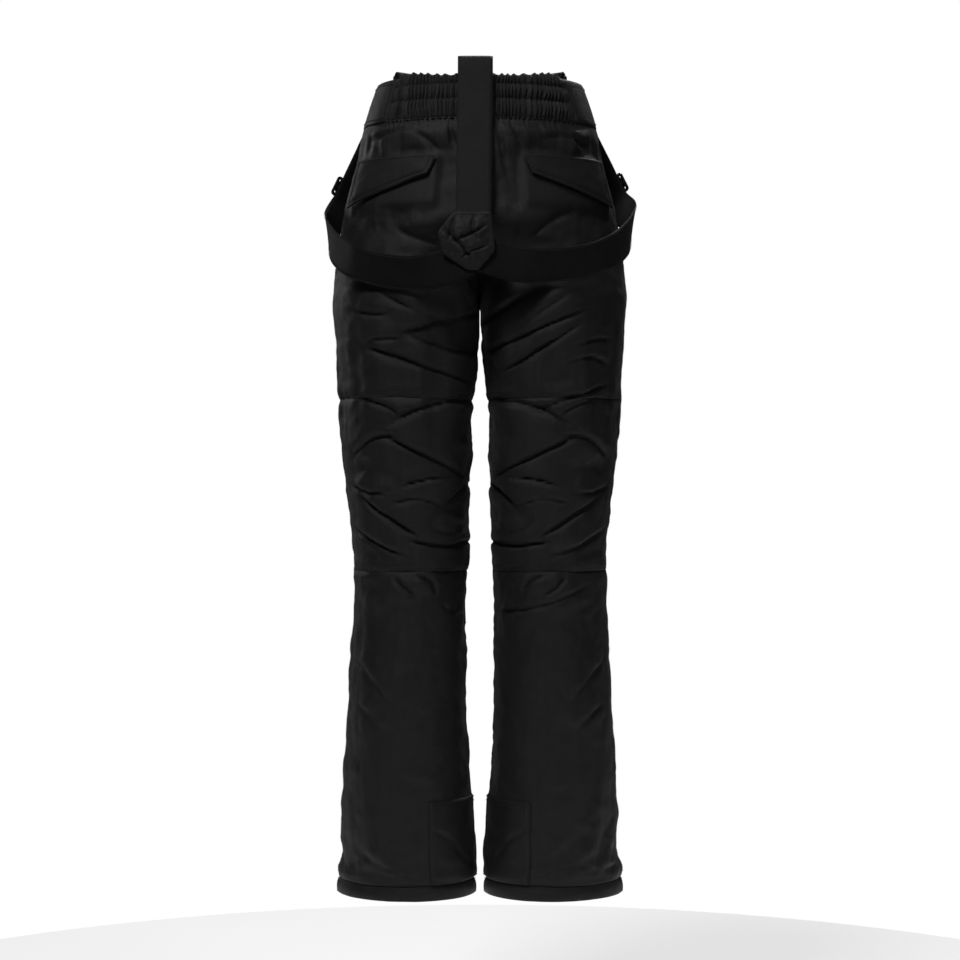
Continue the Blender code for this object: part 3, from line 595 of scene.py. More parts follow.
def settle_cloth(frames=20):
    """How far each point of the shell settles as cloth: its rest shape is longer than the space it hangs in,
    so it buckles. No shift is longer than MOST_SETTLED."""
    t_grid, z_grid = np.meshgrid(COARSE_TS, COARSE_ROWS)
    rows, columns = t_grid.shape
    grids = [body(side, face, t_grid, z_grid) for side, face in QUARTERS]
    for grid in grids:
        grid[COARSE_ROWS > CROTCH, -1, 0] = 0
    verts = np.concatenate([grid.reshape(-1, 3) for grid in grids])
    keys, welded, index = {}, [], np.empty(len(verts), dtype=np.int64)
    for i, point in enumerate(verts):
        key = tuple(np.round(point, 5) + 0.0)
        if key not in keys:
            keys[key] = len(welded)
            welded.append(point)
        index[i] = keys[key]
    faces = []
    for q, (side, face) in enumerate(QUARTERS):
        base = q * rows * columns
        for i in range(rows - 1):
            for j in range(columns - 1):
                a = base + i * columns + j
                quad = [index[a], index[a + 1], index[a + 1 + columns], index[a + columns]]
                if side * face > 0:
                    quad.reverse()
                faces.append(tuple(int(v) for v in quad))
    welded = np.array(welded)
    jitter = np.stack([rough(welded, 31.0, seed, 3) for seed in (0.7, 4.1, 9.3)], -1) * 0.0016
    cloth = add_object("settling", welded + jitter, faces, [])
    heights = welded[:, 2]
    held = np.clip(1 - (BAND_LOW - heights) / 0.020, 0, 1)
    held = np.maximum(held, np.clip(1 - (heights - HEM) / 0.014, 0, 1))
    pin = cloth.vertex_groups.new(name="pin")
    for k, weight in enumerate(held):
        pin.add([k], float(max(0.004, weight)), "REPLACE")
    cloth.shape_key_add(name="Basis")
    longer = cloth.shape_key_add(name="rest")
    knots = np.array((0.0, 0.20, 0.27, 0.34, 0.40, 0.47, 0.56, 0.64, 0.72, 0.84, 0.94, 1.00, 1.06))
    slack = np.array((1.0, 1.02, 1.06, 1.07, 1.05, 1.07, 1.08, 1.06, 1.03, 1.02, 1.04, 1.05, 1.02))
    fine = np.linspace(0, 1.06, 400)
    local = np.interp(fine, knots, slack)
    total = np.concatenate(([0], np.cumsum(np.diff(fine) * (local[1:] + local[:-1]) / 2)))
    rest = (welded + jitter) * (1.02, 1.02, 1.0)
    rest[:, 2] = -np.interp(-heights, fine, total) + jitter[:, 2]
    longer.data.foreach_set("co", rest.ravel())
    modifier = cloth.modifiers.new("cloth", "CLOTH")
    settings = modifier.settings
    settings.quality = 5
    settings.mass = 0.3
    settings.tension_stiffness = 20
    settings.compression_stiffness = 20
    settings.shear_stiffness = 5
    settings.bending_stiffness = 0.35
    settings.air_damping = 6
    settings.vertex_group_mass = "pin"
    settings.pin_stiffness = 1.0
    settings.rest_shape_key = longer
    settings.use_pressure = True
    settings.uniform_pressure_force = 0.6
    settings.effector_weights.gravity = 0.1
    modifier.collision_settings.use_collision = False
    scene = bpy.context.scene
    scene.frame_start, scene.frame_end = 1, frames
    for number in range(1, frames + 1):
        scene.frame_set(number)
    after = cloth.evaluated_get(bpy.context.evaluated_depsgraph_get()).to_mesh()
    moved = np.empty(len(welded) * 3)
    after.vertices.foreach_get("co", moved)
    moved = moved.reshape(-1, 3)
    scene.frame_set(1)
    bpy.data.objects.remove(cloth, do_unlink=True)
    shift = moved - welded
    size = np.linalg.norm(shift, axis=1, keepdims=True)
    shift *= np.where(size > 0, MOST_SETTLED * np.tanh(size / MOST_SETTLED) / np.maximum(size, 1e-9), 0)
    shift = shift[index].reshape(4, rows, columns, 3)
    return {quarter: shift[q] for q, quarter in enumerate(QUARTERS)}


def finer(values):
    """A coarse grid's values at the fine grid's points."""
    rows = np.interp(-FINE_ROWS, -COARSE_ROWS, np.arange(len(COARSE_ROWS)))
    i = np.minimum(rows.astype(int), len(COARSE_ROWS) - 2)
    u = (rows - i)[:, None, None]
    values = values[i] * (1 - u) + values[i + 1] * u
    columns = FINE_TS * (len(COARSE_TS) - 1)
    j = np.minimum(columns.astype(int), len(COARSE_TS) - 2)
    v = (columns - j)[None, :, None]
    return values[:, j] * (1 - v) + values[:, j + 1] * v


def grid_normals(grid, side, face):
    """Normals of a grid of points, pointing out of the garment."""
    normal = np.cross(np.gradient(grid, axis=1), -np.gradient(grid, axis=0)) * (side * face)
    return normal / np.maximum(np.linalg.norm(normal, axis=-1, keepdims=True), 1e-9)


T_GRID, Z_GRID = np.meshgrid(FINE_TS, FINE_ROWS)
TORSO = FINE_ROWS > CROTCH
settled = settle_cloth()
BASE, OUT, NORMAL = {}, {}, {}
for side, face in QUARTERS:
    plain = body(side, face, T_GRID, Z_GRID)
    plain[TORSO, -1, 0] = 0
    free = freedom(side, face, T_GRID, Z_GRID, plain)
    if settled:
        shift = finer(settled[side, face]) * free[..., None]
        shift[TORSO, -1, 0] = 0
    else:
        shift = 0.0
    normal = normals_of(side, face, T_GRID, Z_GRID)
    normal[TORSO, -1, 0] = 0
    arc = lengths_along(plain, 1)
    rest = arc[:, -1:] - arc
    out = relief(side, face, T_GRID, Z_GRID, plain)
    out += 0.0015 * rough(plain * (1, 1, 1.5), 24.0, 1.3, 3)
    out += 0.0006 * rough(plain * (1, 1, 1.2), 68.0, 8.1, 2)
    crumple = 1 - np.abs(rough(plain * (0.8, 1, 1.5), 17.0, 6.4 + side, 3))
    out += 0.0016 * (crumple - 0.75) * (0.35 + 0.65 * step_between(0.70, 0.60, -Z_GRID))
    out = np.where(out > 0, 0.0085 * np.tanh(out / 0.0085), out) * free
    for seam in ((THIGH_SEAM, CALF_SEAM) if face > 0 else (FRONT_KNEE_TOP, FRONT_KNEE_LOW)) + (HEM_SEAM,):
        out += seam_pinch(Z_GRID - seam)
    out += seam_pinch(arc, 0.0012) + seam_pinch(rest, 0.0012)
    if face > 0:
        fade = np.exp(-np.maximum(0, BAND_LOW - Z_GRID) / 0.017) * step_between(0.34, 0.44, T_GRID)
        out += 0.0016 * np.sin(gather_phase(rest * side)) * fade
        calf = step_between(0.64, 0.74, -Z_GRID)
        out -= calf * 0.0030 * np.sin(2 * np.pi * T_GRID - 0.6)
    out += 0.0009 * step_between(-HEM_SEAM - 0.0005, -HEM_SEAM + 0.003, -Z_GRID)
    BASE[side, face], OUT[side, face], NORMAL[side, face] = plain + shift, np.maximum(out, -0.0022), normal

for side in (1, -1):
    front, back = (side, -1), (side, 1)
    for grids in (BASE, OUT, NORMAL):
        seam = (grids[front][:, 0] + grids[back][:, 0]) / 2
        grids[front][:, 0] = grids[back][:, 0] = seam
        inseam = (grids[front][~TORSO, -1] + grids[back][~TORSO, -1]) / 2
        grids[front][~TORSO, -1] = grids[back][~TORSO, -1] = inseam
for face in (1, -1):
    for grids in (BASE, OUT):
        both = (grids[1, face][TORSO, -1] + grids[-1, face][TORSO, -1]) / 2
        grids[1, face][TORSO, -1] = grids[-1, face][TORSO, -1] = both

SURFACE = {}
for quarter in QUARTERS:
    side = quarter[0]
    facing = NORMAL[quarter] / np.linalg.norm(NORMAL[quarter], axis=-1, keepdims=True)
    points = BASE[quarter] + facing * OUT[quarter][..., None]
    clear = np.where(TORSO, 0.0, 0.0005)[:, None]
    points[..., 0] = side * np.maximum(points[..., 0] * side, clear)
    SURFACE[quarter] = (points, grid_normals(points, *quarter))


def row_of(height):
    return int(np.argmin(np.abs(FINE_ROWS - height)))


CLOTH_THICK = 0.0026
CUFF_OUTSIDE, CUFF_INSIDE = 0.0011, 0.0046


def panel(name, side, face, high, low, replaced):
    a, b = row_of(high), row_of(low)
    outer = SURFACE[side, face][0][a:b + 1]
    inner = (BASE[side, face] - NORMAL[side, face] * CLOTH_THICK)[a:b + 1]
    made = wall(name, outer, inner, [SHELL, LINING])
    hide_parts(*replaced)
    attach(made, "garment")


for side, hand in SIDES:
    panel("shell_seat_" + hand, side, 1, BAND_LOW, THIGH_SEAM, ["seat_" + hand])
    panel("shell_knee_back_" + hand, side, 1, THIGH_SEAM, CALF_SEAM, ["knee_back_" + hand])
    panel("shell_calf_back_" + hand, side, 1, CALF_SEAM, HEM_SEAM, ["calf_back_" + hand])
    panel("shell_hip_front_" + hand, side, -1, BAND_LOW, FRONT_KNEE_TOP, ["hip_front_" + hand])
    panel("shell_knee_front_" + hand, side, -1, FRONT_KNEE_TOP, FRONT_KNEE_LOW, ["knee_front_" + hand])
    panel("shell_shin_front_" + hand, side, -1, FRONT_KNEE_LOW, HEM_SEAM, ["shin_front_" + hand])
    back, front = SURFACE[side, 1], SURFACE[side, -1]
    a = row_of(HEM_SEAM)
    outer = np.concatenate((back[0][a:], front[0][a:, -2:0:-1]), axis=1)
    facing = np.concatenate((back[1][a:], front[1][a:, -2:0:-1]), axis=1)
    facing[..., 2] = 0
    facing /= np.linalg.norm(facing, axis=-1, keepdims=True)
    outside, inside = outer - facing * CUFF_OUTSIDE, outer - facing * CUFF_INSIDE
    made = wall("hem_cuff_" + hand, outside, inside, [SHELL, LINING], ring=True)
    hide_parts("hem_band_" + hand)
    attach(made, "garment")


def surface_line(side, face, ts, zs, out=0.0):
    """Points and normals on the finished shell along a line of t and height."""
    grid, normal = SURFACE[side, face]
    ts, zs = np.broadcast_arrays(np.asarray(ts, float), np.asarray(zs, float))
    row = np.interp(-zs, -FINE_ROWS, np.arange(len(FINE_ROWS)))
    col = ts * (len(FINE_TS) - 1)
    i, j = np.floor(row).astype(int), np.floor(col).astype(int)
    i, j = np.clip(i, 0, len(FINE_ROWS) - 2), np.clip(j, 0, len(FINE_TS) - 2)
    u, v = (row - i)[..., None], (col - j)[..., None]

    def mix(values):
        top = values[i, j] * (1 - v) + values[i, j + 1] * v
        low = values[i + 1, j] * (1 - v) + values[i + 1, j + 1] * v
        return top * (1 - u) + low * u

    points, facing = mix(grid), mix(normal)
    facing = facing / np.linalg.norm(facing, axis=-1, keepdims=True)
    return points + facing * np.asarray(out)[..., None], facing


# Rows of stitching either side of the seams
ALONG = np.linspace(0.02, 0.98, 120)
for side, hand in SIDES:
    for seam, face in ((THIGH_SEAM, 1), (CALF_SEAM, 1), (FRONT_KNEE_TOP, -1), (FRONT_KNEE_LOW, -1)):
        for shift in (0.0030, 0.0085):
            stitch_line(*surface_line(side, face, ALONG, seam + shift))
    for face in (1, -1):
        stitch_line(*surface_line(side, face, ALONG, HEM_SEAM - 0.0015, 0.0004))
        heights = np.linspace(BAND_LOW - 0.004, HEM_SEAM + 0.004, 300)
        stitch_line(*surface_line(side, face, np.full(300, 0.022), heights))
    heights = np.linspace(BAND_LOW - 0.004, CROTCH + 0.02, 120)
    stitch_line(*surface_line(side, 1, np.full(120, 0.975), heights))
    stitch_line(*surface_line(side, -1, np.full(120, 0.975), heights))
# The fly's curved double row, on the wearer's left of the centre front
bend = np.linspace(0, 1, 60)
for inset in (0.0, 0.006):
    reach = 0.030 + inset
    heights = BAND_LOW - 0.004 - (0.152 + inset) * bend
    wide = reach * np.sqrt(np.clip(1 - np.clip((bend - 0.62) / 0.38, 0, 1) ** 2, 0, 1))
    outer_half = stations(heights)[0]
    stitch_line(*surface_line(1, -1, np.arccos(np.clip(wide / outer_half, 0, 0.98)) * 2 / np.pi, heights))
sew("shell_stitching")


# ---------------------------------------------------------------- waistband
BACK_BAND_START = 0.42


def around(turn, z, out):
    """Points round the waist: turn 0 is the centre back, and -1 and 1 the left and right side seams."""
    turn, z, out = np.broadcast_arrays(np.asarray(turn, float), np.asarray(z, float), np.asarray(out, float))
    t = 1 - np.abs(turn)
    left = on_body(1, 1, t, z, out)
    right = on_body(-1, 1, t, z, out)
    return np.where((turn <= 0)[..., None], left, right)


ROWS = np.linspace(0, BAND_LOW - 0.002, 60)
TURNS = np.linspace(-0.585, 0.585, 641)
turn_grid, z_grid = np.meshgrid(TURNS, ROWS)
run_grid = lengths_along(around(turn_grid, z_grid, 0.0), 1)
run_grid -= run_grid[:, 320:321]
lines = (-0.0115, -0.0305, BAND_LOW)
puff = np.zeros(z_grid.shape)
for high, low, tall in ((0.0, lines[0], 0.0022), (lines[0], lines[1], 0.0030), (lines[1], lines[2], 0.0030)):
    share = np.clip((high - z_grid) / (high - low), 0, 1)
    puff = np.maximum(puff, tall * np.sin(np.pi * share) ** 0.7)
edge = 1 - step_between(0.50, 0.575, np.abs(turn_grid))
flow = np.stack((run_grid * 0 + 0.4, run_grid * 30, z_grid * 55), -1)
phase = gather_phase(run_grid + 0.0022 * rough(flow, 1.0, 5.5, 2))
pleat = np.sin(phase) + 0.35 * np.sin(2.3 * phase + 0.8)
level = 0.45 + 0.75 * puff / 0.0030
out = 0.0009 + puff * (0.75 + 0.25 * edge) + 0.00150 * pleat * level * edge
outer = around(turn_grid, z_grid, out)
ruffle = np.exp(z_grid / 0.005) * edge
rise = 0.0012 * np.sin(phase * 0.5 + 0.7) + 0.0052 * step_between(0.18, 0.50, np.abs(turn_grid))
outer[..., 2] += rise * ruffle
inner = around(turn_grid, z_grid, -0.0030 + 0.0006 * pleat * edge)
inner[..., 2] += rise * ruffle
made = wall("gathered_waistband", outer, inner, [ELASTIC, LINING])
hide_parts("waistband_back")
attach(made, "garment")
for height in lines[:2] + (BAND_LOW + 0.0015,):
    turns = np.linspace(-0.575, 0.575, 300)
    k = int(np.argmin(np.abs(ROWS - height)))
    points = np.stack([np.interp(turns, TURNS, outer[k, :, c]) for c in range(3)], -1)
    facing = around(turns, height, 0.01) - around(turns, height, 0.0)
    stitch_line(points, facing, lift=0.0003)

for side, hand in SIDES:
    places = [(1, t) for t in np.linspace(BACK_BAND_START - 0.004, 0.03, 22)]
    places += [(-1, t) for t in np.linspace(0.0, 0.997, 60)]
    zs = np.linspace(0.0, BAND_LOW - 0.001, 22)
    share = zs / BAND_LOW
    bulge = 0.0012 + 0.0011 * np.sin(np.pi * np.clip(share, 0, 1)) ** 0.6
    outer = np.stack([on_body(side, face, np.full(22, t), zs, bulge) for face, t in places], 1)
    outer += 0.0005 * rough(outer, 34.0, 2.2, 3)[..., None] * outer / 0.13 * (1, 1, 0)
    inner = np.stack([on_body(side, face, np.full(22, t), zs, np.full(22, -0.0032)) for face, t in places], 1)
    made = wall("plain_waistband_" + hand, outer, inner, [SHELL, LINING])
    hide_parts("waistband_front_" + hand)
    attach(made, "garment")
    for k in (2, 19):
        facing = np.stack([normals_of(side, face, t, zs[k]) for face, t in places])
        stitch_line(outer[k], facing, lift=0.0003)
    facing = np.stack([normals_of(side, 1, BACK_BAND_START - 0.02, z) for z in zs])
    stitch_line(outer[:, 1], facing, lift=0.0003)
sew("waistband_stitching")


# ---------------------------------------------------------------- webbing
def routed(points, steps):
    """A smooth curve through the points, in steps of about one length, and its directions."""
    points = [Vector(p) for p in points]
    curve = []
    last = len(points) - 1
    for i in range(last):
        a, b, c, d = (points[min(last, max(0, k))] for k in (i - 1, i, i + 1, i + 2))
        count = max(1, round((c - b).length / steps))
        for k in range(count + (i == last - 1)):
            u = k / count
            curve.append(
                0.5
                * (
                    2 * b
                    + (c - a) * u
                    + (2 * a - 5 * b + 4 * c - d) * u * u
                    + (3 * b - a - 3 * c + d) * u * u * u
                )
            )
    tangents = []
    for i in range(len(curve)):
        tangents.append((curve[min(len(curve) - 1, i + 1)] - curve[max(0, i - 1)]).normalized())
    return curve, tangents


def webbing(name, points, facing, wide, thick, materials, steps=0.003, across_count=9, cup=0.0, wave=0.0):
    """A flat strap with soft edges: returns it with its centre line, outward directions and width line."""
    curve, tangents = routed(points, steps)
    shares = np.linspace(-1, 1, across_count)
    outer, inner, looks, sides = [], [], [], []
    for here, along in zip(curve, tangents):
        look = facing(here, along)
        look = (look - along * look.dot(along)).normalized()
        across = along.cross(look)
        here, look, across = np.array(here), np.array(look), np.array(across)
        ripple = wave * noise.fractal(Vector(here * 30.0), 1.0, 2.0, 2)
        top, low = [], []
        for share in shares:
            edge = thick / 2 * (1 - 0.45 * abs(share) ** 6)
            bow = cup * (share * share - 0.4) + ripple * (0.4 + 0.6 * share)
            middle = here + across * share * wide / 2 + look * bow
            top.append(middle + look * edge)
            low.append(middle - look * edge)
        outer.append(top)
        inner.append(low)
        looks.append(look)
        sides.append(across)
    outer, inner = np.array(outer), np.array(inner)
    made = wall(name, outer, inner, materials, inner_slot=0)
    return made, np.array(curve), np.array(looks), np.array(sides)


def from_axis(here, along):
    """Level and square to the hips, which are wider than they are deep."""
    return Vector((here.x / 0.034, here.y / 0.014, 0))


def level_back(here, along):
    """Square to the webbing's run, with its width lying across the garment."""
    return along.cross(Vector((1, 0, 0)))


STRAP_WIDE, STRAP_THICK, WEB_WIDE = 0.045, 0.0020, 0.044
WEB_LINE = ((0.0912, -0.046), (0.0908, -0.020), (0.0922, 0.008), (0.0960, 0.0185), (0.1008, 0.0215))
WEB_LINE += ((0.1055, 0.0185), (0.1085, 0.008), (0.1100, -0.010), (0.1135, -0.045), (0.1205, -0.100))
WEB_LINE += ((0.1278, -0.150), (0.1340, -0.184), (0.1362, -0.203))
web = [(0.0058 - 0.013 * min(0.0, z), y, z) for y, z in WEB_LINE]
made, line, looks, across = webbing("centre_back_webbing", web, level_back, WEB_WIDE, STRAP_THICK, [WEBBING])
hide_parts("brace_back_web")
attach(made, "garment")
outside = np.where((line[:, 2] < 0.0165) & (line[:, 1] > 0.104))[0]
for share in (-0.86, 0.86):
    stitch_line((line + looks * 0.0010 + across * share * WEB_WIDE / 2)[outside], looks[outside], lift=0.0003)
for height in (0.0140, 0.0045, -0.160):
    k = outside[int(np.argmin(np.abs(line[outside, 2] - height)))]
    bar = np.linspace(-0.86, 0.86, 24)[:, None] * across[k] * WEB_WIDE / 2 + line[k] + looks[k] * 0.0010
    stitch_line(bar, np.repeat(looks[k:k + 1], 24, 0), pitch=0.0026, long=0.0022, lift=0.0003)

LEFT = [(0.0160, 0.1372, -0.2350), (0.0450, 0.1352, -0.2470), (0.0765, 0.1330, -0.2530)]
LEFT += [(0.1170, 0.1285, -0.2500), (0.1560, 0.1085, -0.2380), (0.1810, 0.0695, -0.2190)]
LEFT += [(0.1935, 0.0340, -0.2000), (0.1965, -0.0020, -0.1800)]
RIGHT = [(0.0005, 0.1372, -0.2290), (-0.0380, 0.1352, -0.2410), (-0.0810, 0.1335, -0.2440)]
RIGHT += [(-0.1290, 0.1255, -0.2380), (-0.1630, 0.0995, -0.2240), (-0.1840, 0.0610, -0.2060)]
RIGHT += [(-0.1950, 0.0260, -0.1870), (-0.1970, -0.0060, -0.1680)]
RISE_LOW = {1: (0.180, -0.045, -0.151), -1: (0.180, -0.043, -0.146)}
RISE_HIGH = Vector((0.122, -0.078, -0.022))


def sling_lean(here):
    """How far the strap's upper edge leans out from the seat and hips, as a slope."""
    wide = abs(here.x)
    lean = 0.52 * step_between(0.046, 0.092, wide) * (1 - 0.60 * step_between(0.130, 0.185, wide))
    return lean * (1 - step_between(-0.004, 0.040, -here.y))


for side, hand, hip in ((1, "left", LEFT), (-1, "right", RIGHT)):
    def mirrored(point):
        return Vector((side * point[0], point[1], point[2]))

    rise_low = Vector(RISE_LOW[side])
    end = Vector(on_body(side, -1, 0.50, 0.0, 0.0))
    look = Vector(normals_of(side, -1, 0.50, 0.0))
    look.z = 0
    look.normalize()
    up = Vector((0, 0, 1))
    route = list(hip)
    for share in (0.0, 0.33, 0.67, 1.0):
        route.append(mirrored(rise_low.lerp(RISE_HIGH, share)))
    over_hook = ((0.0092, 0.004), (0.0048, 0.0210), (-0.0010, 0.0296), (-0.0068, 0.0210), (-0.0072, 0.0120))
    route += [end + look * ahead + up * rise for ahead, rise in over_hook]
    rise_look = from_axis(mirrored(rise_low.lerp(RISE_HIGH, 0.4)), None).normalized()

    def facing(here, along, end=end, look=look, rise_look=rise_look):
        plain = from_axis(here, along).normalized() - Vector((0, 0, sling_lean(here)))
        plain = plain.lerp(rise_look, step_between(0.004, 0.040, -here.y))
        share = step_between(-0.018, 0.012, here.z)
        hub = end - look * 0.0010 + Vector((0, 0, min(0.0205, here.z)))
        return plain.lerp((here - hub).normalized(), share)

    made, line, looks, across = webbing(
        "shoulder_strap_" + hand, route, facing, STRAP_WIDE, STRAP_THICK, [SHADED_STRAP], cup=0.0004, wave=0.0007
    )
    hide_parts("brace_strap_" + hand)
    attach(made, "garment")

    for share in (-0.90, 0.90):
        stitch_line(line + looks * 0.0010 + across * share * STRAP_WIDE / 2, looks, lift=0.0003, pitch=0.0042)

    # The strap's lap over the adjuster's middle bar
    spot = mirrored(rise_low.lerp(RISE_HIGH, 0.14))
    run = (mirrored(RISE_HIGH) - mirrored(rise_low)).normalized()
    out = (rise_look - run * rise_look.dot(run)).normalized()
    place = turned_frame(spot + out * 0.0042, run.cross(out) * -1, out)
    lap = ((-0.0108, -0.0021), (-0.0086, -0.0017), (-0.0064, 0.0004), (-0.0040, 0.0019), (0.0, 0.0024))
    lap += ((0.0040, 0.0019), (0.0064, 0.0004), (0.0086, -0.0017), (0.0108, -0.0021))

    def over_bar(here, along, out=out):
        return out

    lap_route = [place @ Vector((0, o, s)) for s, o in lap]
    made, lap_line, lap_looks, lap_across = webbing(
        "adjuster_lap_" + hand, lap_route, over_bar, 0.0440, 0.0012, [SHADED_STRAP], steps=0.0009
    )
    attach(made, "brace_adjuster_" + hand + "_body")

    hanger = [Vector(on_body(side, -1, 0.50, z, 0.0015 + 0.0023)) for z in (-0.024, -0.012, -0.001)]
    over_band = ((0.0018, 0.0080), (-0.0010, 0.0104), (-0.0042, 0.0080))
    hanger += [end + look * ahead + up * rise for ahead, rise in over_band]
    hanger += [Vector(on_body(side, -1, 0.50, z, -0.0035 - 0.0023)) for z in (-0.001, -0.010, -0.020)]

    def round_bar(here, along, end=end, look=look):
        if here.z < 0:
            return look if along.z > 0 else -look
        return here - end + look * 0.0010 - Vector((0, 0, min(0.0055, here.z)))

    made, line, looks, across = webbing(
        "hook_loop_" + hand, hanger, round_bar, 0.022, 0.0010, [WEBBING], steps=0.0015, across_count=5
    )
    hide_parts("brace_loop_" + hand)
    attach(made, "garment")

sew("brace_stitching")


# ---------------------------------------------------------------- flaps, patches, guards, tab, yoke
def rounded_outline(corners, radius, steps=5):
    """A closed outline with its corners rounded."""
    points = []
    count = len(corners)
    for k in range(count):
        here = np.array(corners[k], float)
        before, after = np.array(corners[k - 1], float), np.array(corners[(k + 1) % count], float)
        to_before, to_after = before - here, after - here
        reach = min(radius, np.linalg.norm(to_before) * 0.4, np.linalg.norm(to_after) * 0.4)
        a = here + to_before / np.linalg.norm(to_before) * reach
        b = here + to_after / np.linalg.norm(to_after) * reach
        for share in np.linspace(0, 1, steps):
            points.append((1 - share) ** 2 * a + 2 * share * (1 - share) * here + share**2 * b)
    return np.array(points)


def resampled(outline, count):
    closed = np.concatenate((outline, outline[:1]))
    run = lengths_along(closed[None], 1)[0]
    marks = np.linspace(0, run[-1], count, endpoint=False)
    return np.stack([np.interp(marks, run, closed[:, k]) for k in range(2)], -1)


def pad_piece(name, outline, frame_at_base, thick, crown, materials, bumps=None, rings=12, count=96):
    """A flat closed patch of cloth with a soft edge, from its outline in the frame's X and Z."""
    rim = resampled(outline, count)
    centre = rim.mean(0)
    shares = np.concatenate((np.linspace(0.06, 0.86, rings), (0.93, 0.97, 1.0)))
    verts, faces, uvs = [], [], []
    for sign in (1, -1):
        verts.append((centre[0], sign * (thick / 2 + (crown if sign > 0 else 0)), centre[1]))
        uvs.append(centre)
        for share in shares:
            edge = 1.0 if share < 0.95 else 0.78 if share < 0.99 else 0.30
            for point in rim:
                place = centre + (point - centre) * share
                swell = crown * (1 - share**2) if sign > 0 else 0.0
                verts.append((place[0], sign * (thick / 2 * edge + swell), place[1]))
                uvs.append(place)
    size = 1 + len(shares) * count
    for base in (0, size):
        for j in range(count):
            k = (j + 1) % count
            faces.append((base, base + 1 + j, base + 1 + k))
            for i in range(len(shares) - 1):
                a, b = base + 1 + i * count, base + 1 + (i + 1) * count
                faces.append((a + j, b + j, b + k, a + k))
    last = 1 + (len(shares) - 1) * count
    for j in range(count):
        k = (j + 1) % count
        faces.append((last + j, last + k, size + last + k, size + last + j))
    verts = np.array(verts)
    if bumps is not None:
        verts[:, 1] += bumps(verts[:, 0], verts[:, 2])
    placed = [frame_at_base @ Vector(v) for v in verts]
    made = add_object(name, placed, faces, materials, np.array(uvs))
    fair_normals(made)
    return made


def edge_stitches(outline, frame_at_base, inset, out, bumps=None, **how):
    """Stitching parallel to a patch's edge."""
    rim = resampled(outline, 160)
    centre = rim.mean(0)
    size = np.linalg.norm(rim - centre, axis=1).mean()
    line = centre + (rim - centre) * (1 - inset / size)
    line = np.concatenate((line, line[:1]))
    height = np.full(len(line), out)
    if bumps is not None:
        height = height + bumps(line[:, 0], line[:, 1])
    points = [frame_at_base @ Vector((p[0], h, p[1])) for p, h in zip(line, height)]
    up = np.array(frame_at_base.col[1][:3])
    stitch_line(np.array([tuple(p) for p in points]), np.repeat(up[None], len(points), 0), **how)


